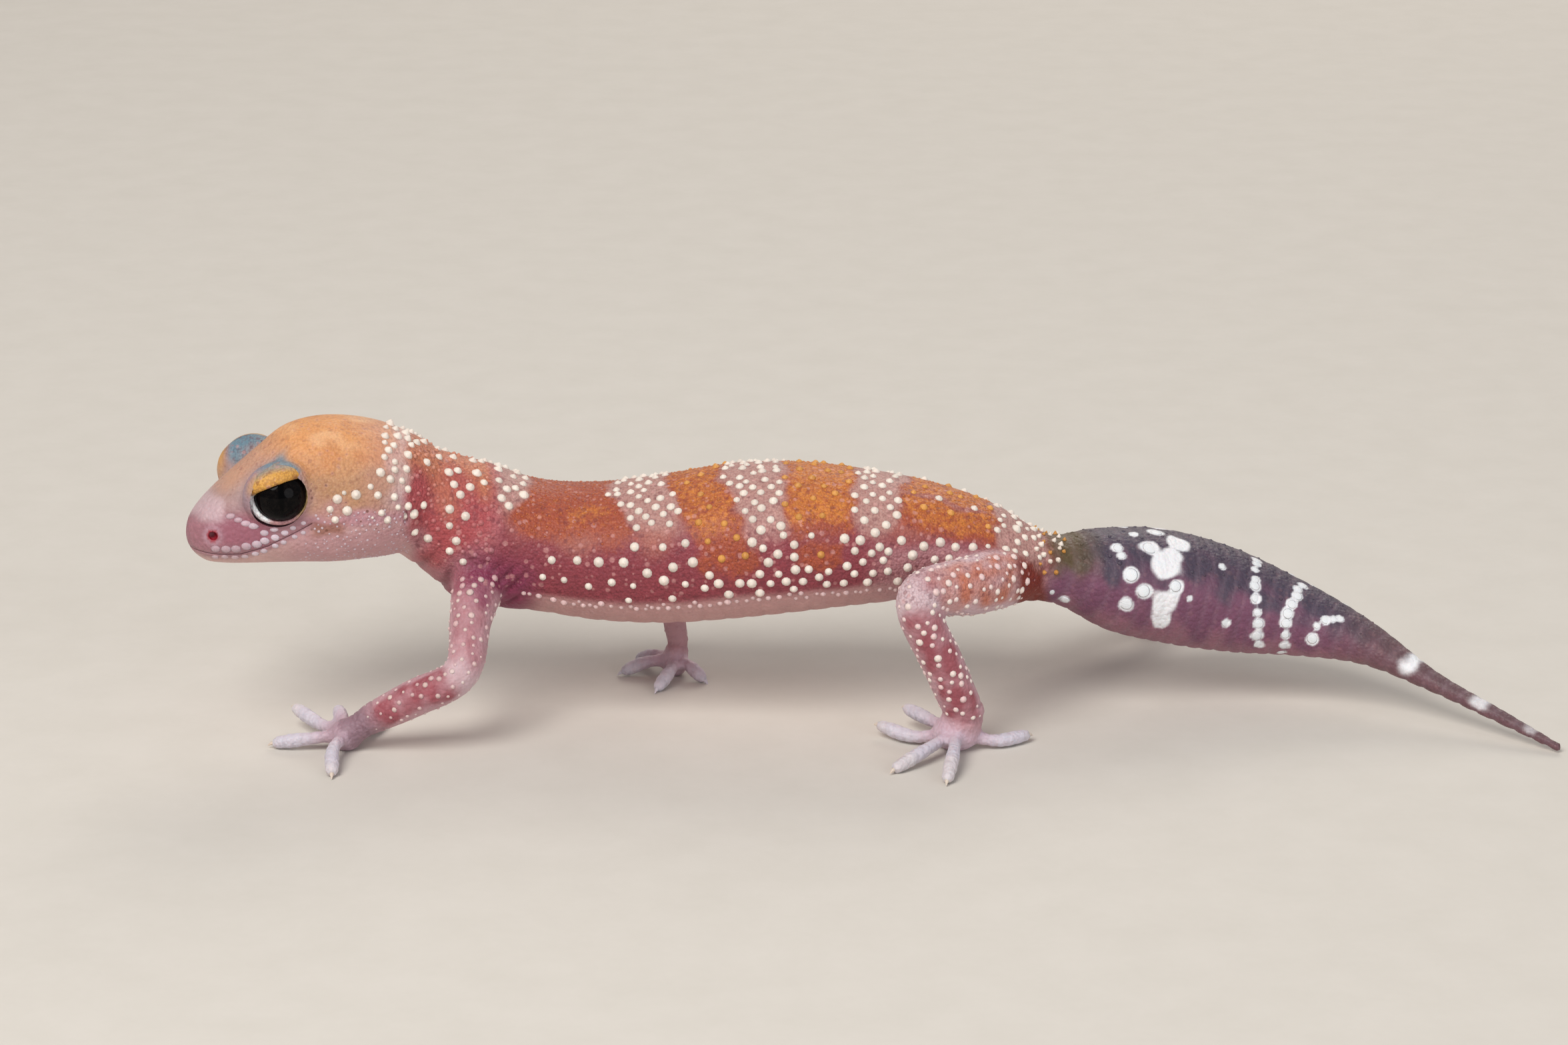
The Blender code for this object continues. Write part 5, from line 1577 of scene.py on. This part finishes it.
# %% Scales of the back and flanks
CREAM = tone(240, 226, 214)
ROSE_WHITE = tone(226, 190, 190)
LILAC_WHITE = tone(216, 198, 210)
GOLD = tone(216, 150, 74)
BUTTON_RADIUS = 0.5


def trunk_aims(first, last, row_step, arc_step, arc, radius, jitter, seed):
    """Staggered rows of rays out of the trunk, from x to x, over an arc in degrees."""
    rng = np.random.default_rng(seed)
    aims = []
    for i in range(int((last - first) / row_step) + 1):
        x = first + i * row_step
        row, _ = spine_spot(x, 0)
        arc_long = math.radians(arc[1] - arc[0]) * (row[3] + row[4]) / 2
        columns = max(2, round(arc_long / arc_step))
        for k in range(columns):
            share = (k + 0.25 + 0.5 * (i % 2)) / columns
            turn = arc[0] + (arc[1] - arc[0]) * share + math.degrees(jitter * rng.normal() / row[4])
            start, out = spine_spot(x + jitter * rng.normal(), turn)
            aims.append((start[:3], out, radius * rng.uniform(0.82, 1.12)))
    return aims


def pick_scales(aims, rule, seed):
    """Casts rays and keeps the scales that a rule on the map wants; the rule returns size and shade."""
    spots, stands, sizes = cast(aims)
    at = body_map(spots)
    at.marks, at.draw = markings(at), np.random.default_rng(seed).random(len(spots))
    factor, shades = rule(at)
    keep = factor > 0.05
    spots, stands, sizes, shades = spots[keep], stands[keep], (sizes * factor)[keep], shades[keep]
    keep = spaced(spots, sizes)
    return spots[keep], stands[keep], sizes[keep], shades[keep]


def varied(tint, draw, low, high):
    """A tint for each scale, from low to high times as bright by its draw."""
    return tint * (low + (high - low) * draw)[:, None]


def torso_room(at):
    """Where the torso's own scales may stand."""
    return (at.on_limb < 0.35) & (at.head < 0.4) & (at.tail < 0.6)


def crowded(at):
    """Where scales stand close: in pale bands, and low on the rear half of the flank."""
    return (at.marks["pale"] > 0.35) | ((at.x > -16) & (at.up < 0.38))


def button_shades(at):
    """Cream on the back, rosier low down, golden on the saddles."""
    shades = fade(varied(CREAM, at.draw, 0.84, 1.0), ROSE_WHITE, 0.7 * step(-at.up, 0.3, 0.7))
    return np.where((at.marks["saddle"] > 0.5)[:, None], varied(GOLD, at.draw, 0.8, 1.1), shades)


def close_rule(at):
    """The crowded scales of the pale bands and of the rear half of the flank."""
    factor = np.where(crowded(at), 0.97 - 0.12 * step(at.up, 0.4, 0.9), 0.0) * (at.x > -37.5) * (at.x < 9.6)
    factor *= np.where(at.x < -32.0, 1.2, 1.0)
    factor *= torso_room(at) & (at.up > -0.4) & (at.marks["saddle"] < 0.5)
    return factor, button_shades(at)


def hip_rule(at):
    """The small, thick-set scales over the hips."""
    factor = np.where(at.x > 9.4 + 1.2 * at.up, 0.8 + 0.4 * at.draw, 0.0)
    factor *= torso_room(at) & (at.marks["saddle"] < 0.5) & (at.up > -0.3)
    return factor, button_shades(at)


def loose_rule(at):
    """The loose rows of the flanks, and the few golden scales of the saddles."""
    on_saddle = at.marks["saddle"] > 0.4
    factor = np.where(on_saddle, np.where(at.draw < 0.75, 0.78, 0.0), 1.0)
    factor = np.where(on_saddle & (at.x < -20.5), 0.0, factor)
    factor = np.where(on_saddle & (at.up < 0.25) & (at.x > -20.5), 0.85, factor)
    factor *= np.where(at.up < -0.1, 0.8, 1.0)
    factor *= torso_room(at) & (at.up > -0.42) & (at.x > -37.5)
    factor *= (at.x > -31.0) | (at.up > 0.62)
    front_saddle = (at.x < -24.0) & (at.marks["saddle"] > 0.12) & (at.up > 0.3)
    return np.where(front_saddle, 0.0, factor), button_shades(at)


def belly_edge_rule(at):
    """The row of small whitish scales along the belly's edge."""
    factor = np.where(at.x > -33.0, 0.8 + 0.4 * at.draw, 0.0) * (at.on_limb < 0.3)
    return factor, varied(ROSE_WHITE, at.draw, 0.76, 0.96)


def golden_rule(at):
    """The small grains of the saddles, in their own orange."""
    factor = np.where((at.marks["saddle"] > 0.6) & (at.draw < 0.8), 0.5 + 0.5 * at.draw, 0.0) * torso_room(at)
    return factor, varied(fade(SADDLE_RUST, SADDLE_GOLD, at.marks["gold"]), at.draw, 0.8, 1.2)


def joined(parts):
    """Several picked sets of scales as one, the earlier ones first; later ones keep clear of them."""
    spots, stands, sizes, shades = (np.concatenate([part[k] for part in parts]) for k in range(4))
    keep = spaced(spots, sizes, 1.0)
    return spots[keep], stands[keep], sizes[keep], shades[keep]


torso_parts = [
    pick_scales(trunk_aims(-37.5, 16.0, 0.78, 1.95, (-30, 210), BUTTON_RADIUS, 0.17, 101), close_rule, 16),
    pick_scales(trunk_aims(-37.0, 14.0, 1.16, 3.5, (-28, 208), BUTTON_RADIUS, 0.16, 102), loose_rule, 17),
    pick_scales(trunk_aims(8.6, 15.0, 0.56, 1.9, (-20, 200), 0.37, 0.12, 114), hip_rule, 15),
    pick_scales(trunk_aims(-33.0, 13.0, 0.5, 1.0, (-27, -22), 0.3, 0.05, 110), belly_edge_rule, 18),
    pick_scales(trunk_aims(-33.0, 13.0, 0.5, 1.0, (202, 207), 0.3, 0.05, 111), belly_edge_rule, 18),
]
back_scales = set_scales("back_scales", *joined(torso_parts))
aims = trunk_aims(-33.5, 11.5, 0.46, 1.0, (-12, 192), 0.2, 0.12, 112)
saddle_grains = set_scales("saddle_grains", *pick_scales(aims, golden_rule, 19))

# %% [markdown]
# ## Scales of the nape, cheeks and neck
# Behind the crown stands a crowded band of pointed white cones, and smaller ones scatter over the
# cheeks as far as the eye. The red neck carries loose white ones and many small ones of its own tone.

# %% Scales of the head and neck
NAPE_RADIUS = 0.44
JOWL_DOT = 0.17
# Large scales of the cheek and nape: d, e, height, radius
CHEEK_SCALES = [
    (12.5, 6.6, 23.7, 0.5), (11.8, 6.6, 22.8, 0.38), (13.3, 7.0, 22.6, 0.52), (12.8, 6.9, 22.4, 0.32),
    (12.2, 6.8, 21.8, 0.4), (14.2, 6.9, 24.0, 0.52), (16.2, 7.2, 23.8, 0.42), (15.6, 6.9, 24.6, 0.33),
    (17.6, 6.6, 25.0, 0.45), (17.8, 7.0, 23.4, 0.42), (18.2, 6.1, 25.7, 0.42), (18.1, 7.1, 22.4, 0.33),
    (18.8, 7.0, 21.3, 0.45),
]


def head_aims(first, last, row_step, arc_step, arc, radius, seed):
    """Staggered rows of rays out of the head, from d to d, over an arc in degrees from the left side."""
    rng = np.random.default_rng(seed)
    aims = []
    for i in range(int((last - first) / row_step) + 1):
        d = first + i * row_step
        wide, top, bottom, _ = head_section(d)
        level = (top + bottom) / 2
        arc_long = math.radians(arc[1] - arc[0]) * (wide + (top - bottom) / 2) / 2
        columns = max(2, round(arc_long / arc_step))
        for k in range(columns):
            share = (k + 0.25 + 0.5 * (i % 2) + rng.normal() * 0.12) / columns
            turn = math.radians(arc[0] + (arc[1] - arc[0]) * share)
            start = head_point(d + rng.normal() * 0.15, 0.0, level)
            out = head_way(0, math.cos(turn), math.sin(turn))
            aims.append((start, out, radius * rng.uniform(0.75, 1.15)))
    return aims


def nape_rule(at):
    """The crowded cones of the nape."""
    nape = within(at.points[:, 0], -45.4, -42.7, 0.4) * (at.z > 20.5)
    return np.where(nape > 0.5, 0.85 + 0.2 * at.draw, 0.0), varied(CREAM, at.draw, 0.86, 1.0)


def measured_scales():
    """The large scales of cheeks and nape, listed one by one on the left and loosely mirrored on the right.
    """
    rng = np.random.default_rng(27)
    aims = []
    for side in (1, -1):
        for d, e, z, radius in CHEEK_SCALES:
            shift = 0.35 * rng.normal(size=3) * (side < 0)
            start = head_point(d, 0.0, 21.8)
            aims.append((start, head_point(d + shift[0], side * e, z + shift[1]) - start, radius))
    spots, stands, sizes = cast(aims)
    return spots, stands, sizes, varied(CREAM, rng.random(len(spots)), 0.88, 1.0)


def cheek_rule(at):
    """The smaller scattered scales of the cheeks."""
    cheek = step(at.d, 11.0, 12.5) * within(at.z, 21.4, 25.0, 0.6) * (at.points[:, 0] < -45.8)
    factor = np.where((cheek > 0.5) & (at.draw < 0.3), 0.5 + 0.8 * at.draw, 0.0)
    return factor, varied(CREAM, at.draw, 0.86, 1.0)


def jowl_rule(at):
    """The tiny pale grains of the jowls."""
    low = (at.d > 9.5) & (at.z < 22.6) & (at.z > 16.6)
    lips = (at.d < 10.4) & (np.abs(at.z - mouth_height(at.d)) < 1.15)
    factor = np.where(low & ~lips & (at.draw < 0.7), 0.6 + 0.6 * at.draw, 0.0) * (at.points[:, 0] < -43.0)
    return factor, 0.35 * skin_tones(at) + 0.65 * varied(LILAC_WHITE, at.draw, 0.85, 1.15)


def neck_rule(at):
    """The loose white scales of the neck and of the collar band behind it."""
    clump = (ripple(at.points, 4.0, 31) > -0.1) | (at.up > 0.8)
    factor = np.where(clump & (at.draw < 0.9), 0.95 + 0.25 * at.draw, 0.0)
    factor *= (at.points[:, 0] > -42.7) & (at.on_limb < 0.3) & (at.up > -0.3) & (at.x < -36.8)
    return factor, varied(CREAM, at.draw, 0.82, 1.0)


def red_grain_rule(at):
    """The small bumps of the neck, in its own tone."""
    room = (at.points[:, 0] > -42.7) & (at.on_limb < 0.2) & (at.up > -0.2) & (at.x < -36.0)
    return room * (0.7 + 0.5 * at.draw), 0.86 * skin_tones(at) + 0.14 * ROSE_WHITE


head_parts = [
    measured_scales(),
    pick_scales(head_aims(15.0, 23.6, 0.5, 0.92, (-10, 190), 1.12 * NAPE_RADIUS, 103), nape_rule, 26),
    pick_scales(head_aims(11.0, 20.6, 0.74, 1.5, (-10, 190), 0.34, 107), cheek_rule, 25),
]
head_scales = set_scales("head_scales", *joined(head_parts))
aims = head_aims(9.5, 21.0, 0.42, 0.8, (-60, 240), JOWL_DOT, 108)
jowl_grains = set_scales("jowl_grains", *pick_scales(aims, jowl_rule, 29))
neck_parts = [
    pick_scales(trunk_aims(-44.0, -36.8, 0.72, 1.9, (-20, 200), NAPE_RADIUS, 0.2, 104), neck_rule, 28),
    pick_scales(trunk_aims(-44.0, -35.8, 0.6, 1.5, (-20, 200), 0.26, 0.14, 109), red_grain_rule, 30),
]
neck_scales = set_scales("neck_scales", *joined(neck_parts))

# %% [markdown]
# ## Scales of the lips
# Along the mouth runs a row of flat, oblong scales, largest halfway, with a finer row below and a
# second one above its rear half. They are the same domes, stretched along the lip and kept low.

# %% Lip scales
LIP_STEP = 0.84
# Loose pale scales under the front of the eye: d, height, half length
UNDER_EYE = [(3.3, 22.2, 0.4), (3.9, 21.9, 0.36), (4.5, 21.6, 0.42), (5.1, 21.35, 0.46)]


def lip_scales():
    """The rows of scales along both lips and under the eyes."""
    aims, sizes = [], []
    rng = np.random.default_rng(51)
    for side in (1, -1):
        out = head_way(0, side, 0)
        for d in np.arange(1.9, 10.0, LIP_STEP):
            z = float(mouth_height(d))
            grow = math.sin(math.pi * min(1.0, (d + 1.5) / 11))
            rows = [(z + 0.42 + 0.18 * grow, 0.24 + 0.22 * grow), (z - 0.42, 0.24 + 0.1 * grow)]
            if d > 5.6:
                rows.append((z + 1.2 + 0.18 * grow, 0.38))
            for height, radius in rows:
                start = head_point(d + 0.06 * rng.normal(), 0.0, height + 0.04 * rng.normal())
                aims.append((start, out, 1.0))
                sizes.append((radius * 1.2, radius * 0.95, radius))
        for d, height, radius in UNDER_EYE:
            aims.append((head_point(d, 0.0, height), out, 1.0))
            sizes.append((radius * 1.3, radius * 0.8, radius))
    spots, stands, _ = cast(aims)
    at = body_map(spots)
    white = varied(LILAC_WHITE, rng.random(len(spots)), 0.85, 1.1)
    return spots, stands, np.array(sizes), fade(skin_tones(at), white, 0.4 + 0.45 * step(at.d, 3.4, 6.0))


lips = set_scales("lip_scales", *lip_scales())

# %% [markdown]
# ## Scales of the limbs and the tail
# Limbs carry smaller buttons on their outer and upper sides, down to the wrist and ankle. Each white
# blotch of the tail but the largest swells over the skin as one broad, low dome, and the tail's root
# bristles with small pointed scales where the hip's skin ends. Low grains of its own tone roughen the
# tail's top.

# %% Scales of the limbs
LIMB_RADIUS, LIMB_ROW_STEP, LIMB_ARC_STEP = 0.4, 0.68, 1.2
# How far round from the outer side the rows reach, in degrees
LIMB_ARC = 118


def limb_aims(name, seed):
    """Staggered rows of rays out of a limb, on its outer and upper side."""
    rng = np.random.default_rng(seed)
    rows = LIMB_ROWS[name]
    run = np.gradient(rows[:, :3], axis=0)
    lengths = np.concatenate([[0], np.cumsum(np.linalg.norm(np.diff(rows[:, :3], axis=0), axis=1))])
    outward = Vector(outwards(name))
    aims = []
    for i, far in enumerate(np.arange(2.0, lengths[-1] - 2.2, LIMB_ROW_STEP)):
        row = [float(np.interp(far, lengths, rows[:, k])) for k in range(4)]
        along = Vector([float(np.interp(far, lengths, run[:, k])) for k in range(3)]).normalized()
        side = (outward - along * along.dot(outward)).normalized()
        lift = along.cross(side)
        columns = max(2, round(1.1 * math.pi * row[3] / LIMB_ARC_STEP))
        for k in range(columns):
            share = (k + 0.25 + 0.5 * (i % 2)) / columns
            turn = math.radians(LIMB_ARC * (2 * share - 1) + 7 * rng.normal())
            out = side * math.cos(turn) + lift * math.sin(turn)
            aims.append((row[:3], out, LIMB_RADIUS * rng.uniform(0.55, 1.1)))
    return aims


def limb_rule(at):
    """Size and tone of the scales of the limbs: larger on the legs, small on the arms."""
    arm = at.limb < 2
    factor = np.where(at.draw < 0.8, 1.0, 0.0) * (at.on_limb > 0.5) * (at.joint < 4.15)
    factor *= np.where(arm, 0.95 - 0.2 * step(at.joint, 1.0, 2.0), 1.0) * np.where(at.outer > 0.75, 1.0, 0.75)
    factor *= 1.0 - 0.4 * step(at.joint, 3.3, 4.1)
    return factor, fade(fade(ROSE_WHITE, CREAM, at.draw), skin_tones(at), 0.4 * arm)


aims = [aim for k, name in enumerate(LIMBS) for aim in limb_aims(name, 105 + k)]
limb_scales = set_scales("limb_scales", *pick_scales(aims, limb_rule, 37))

# %% Scales of the tail
# Larger blotches are flat patches that have run together, so they carry no dome; a dome is a little
# smaller than its blotch
MOST_DOMED, DOME_SHARE = 1.0, 0.72


def tail_aims():
    """Rays to the middles of the tail's blotches."""
    aims = []
    for centre, radius in (spot for spot in blotches() if spot[1] < MOST_DOMED):
        row_index, _ = nearest_row(np.array([centre]), SPINE_ROWS)
        start = Vector(SPINE_ROWS[row_index[0], :3])
        aims.append((start, centre - start, radius * DOME_SHARE))
    return aims


def bristle_rule(at):
    """The small pointed scales of the tail's root, cream and golden."""
    room = within(at.x, 13.8, 16.9, 0.4) * (at.up > 0.1) * (at.on_limb < 0.3)
    shades = np.where((at.draw < 0.5)[:, None], 0.8 * GOLD, varied(CREAM, at.draw, 0.8, 1.0))
    return np.where(room > 0.5, 0.7 + 0.5 * at.draw, 0.0), shades


def tail_grain_rule(at):
    """The low dark grains along the rings on top of the tail."""
    room = (white_share(at) < 0.2) & (at.up > 0.3) & (at.on_limb < 0.3) & (at.draw < 0.7)
    return np.where(room, 0.5 + 0.6 * at.draw, 0.0), varied(skin_tones(at), at.draw, 0.7, 1.05)


spots, stands, sizes = cast(tail_aims())
shades = np.tile(PORCELAIN, (len(spots), 1))
tail_scales = set_scales("tail_scales", spots, stands, sizes, shades, shades)
aims = trunk_aims(13.4, 18.6, 0.62, 1.3, (-5, 185), 0.28, 0.14, 113)
bristles = set_scales("root_bristles", *pick_scales(aims, bristle_rule, 47))
aims = trunk_aims(19.0, 48.0, RING_STEP / 2, 1.7, (30, 150), 0.3, 0.12, 115)
tail_grains = set_scales("tail_grains", *pick_scales(aims, tail_grain_rule, 48))

# %% [markdown]
# ## The claws
# Each toe ends in a tiny horn-coloured claw that bends down to the ground. It is a short tapered tube,
# drawn like the toes themselves, and takes the finish of the raised scales: toe-coloured at its root
# and pale like horn at its tip.

# %% Claws
CLAW_LENGTH, CLAW_STATIONS, CLAW_RADII = 0.5, (0.0, 0.35, 0.7, 1.0), (0.22, 0.17, 0.1, 0.03)
# How far beyond the toe's last point a claw begins, and how far its tip droops
CLAW_START, CLAW_DROOP = 0.45, 0.16
HORN = tone(212, 196, 182)


def make_claws():
    """The claws of all twenty toes, as one piece."""
    shapes = []
    for name, toes in DIGITS.items():
        for toe in toes:
            path = digit_path(Vector(LIMBS[name][5][:3]), toe)
            tip, run = Vector(path[-1]), Vector(path[-1] - path[-4]).normalized()
            spots = [tip + run * (CLAW_START + CLAW_LENGTH * share) - Vector((0, 0, CLAW_DROOP * share ** 2))
                     for share in CLAW_STATIONS]
            shapes.append(loft(tube_rings(spots, CLAW_RADII, sides=8, cap=2)))
    made = add_object("claws", merged(shapes))
    at = body_map(mesh_points(made.data))
    store(made.data, "foot", with_alpha(skin_tones(at)))
    store(made.data, "shade", np.tile((*HORN, 1.0), (len(at.x), 1)))
    store(made.data, "tip", np.clip((at.joint - 5.7) * 0.9, 0, 1))
    made.data.transform(Matrix.Translation(-CENTRE * MM))
    made.data.materials.append(SCALE_FINISH)
    made.data.shade_smooth()
    return made


claws = make_claws()
print("claws:", len(claws.data.polygons), "faces")

# %% [markdown]
# ## The floor
# A plain pale floor that curves up behind gives the soles something to stand on and the body a soft
# shadow, and nothing that draws the eye away.

# %% Floor
FLOOR_HALF, FLOOR_SIDE, FLOOR_CURVE, FLOOR_RISE = 0.9, 2.0, 0.35, 0.9


def make_floor():
    """A floor that curves up into a backdrop."""
    bend = FLOOR_HALF - FLOOR_CURVE
    profile = [(-FLOOR_HALF, 0.0), (bend, 0.0)]
    for k in range(1, 13):
        swing = math.pi / 2 * k / 12
        profile.append((bend + FLOOR_CURVE * math.sin(swing), FLOOR_CURVE * (1 - math.cos(swing))))
    profile.append((FLOOR_HALF, FLOOR_RISE))
    shape = bmesh.new()
    rows = [[shape.verts.new((side * FLOOR_SIDE, y, z)) for side in (-1, 1)] for y, z in profile]
    for (a, b), (c, d) in zip(rows, rows[1:]):
        shape.faces.new((a, b, d, c))
    bmesh.ops.recalc_face_normals(shape, faces=shape.faces)
    made = add_object("floor", shape)
    finish, tree, shader = new_material("floor_paper")
    grain = placed(tree, MOTTLE, {"Patch Size": 6.0, "Grain": 0.3})["Value"]
    paper = blend(tree, tone(208, 203, 195), tone(216, 211, 204), grain)
    fill(tree, shader, {"Base Color": paper, "Roughness": 0.85})
    made.data.materials.append(finish)
    made.data.shade_smooth()
    return made


make_floor()
print("floor laid")

# %% [markdown]
# ## Joining the frame
# The skin has been in the modeller's place; now it moves onto the frame's origin. The frame's own
# lengths of flesh and its eyes are hidden, and each piece rides on its single body, as a still model has.

# %% Join the frame
skin.data.transform(Matrix.Translation(-CENTRE * MM))
flesh_nodes = [name for name in frame["nodes"] if name not in ("left_eye", "right_eye")]
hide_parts(*flesh_nodes)
slots = {skin: "body_skin", back_scales: "body_skin", saddle_grains: "body_skin", neck_scales: "body_skin",
         head_scales: "head_skin", jowl_grains: "head_skin", lips: "head_skin", limb_scales: "limb_skin",
         tail_scales: "tail_skin", bristles: "tail_skin", tail_grains: "tail_skin", claws: "limb_skin"}
for rim, _ in rims.values():
    slots[rim] = "head_skin"
for name, ball in eyes.items():
    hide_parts(name)
    slots[ball] = "eye"
for piece, slot_name in slots.items():
    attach(piece, "root")
print("pieces:", len(slots), " triangles:", sum(len(p.data.loops) - 2 * len(p.data.polygons) for p in slots))
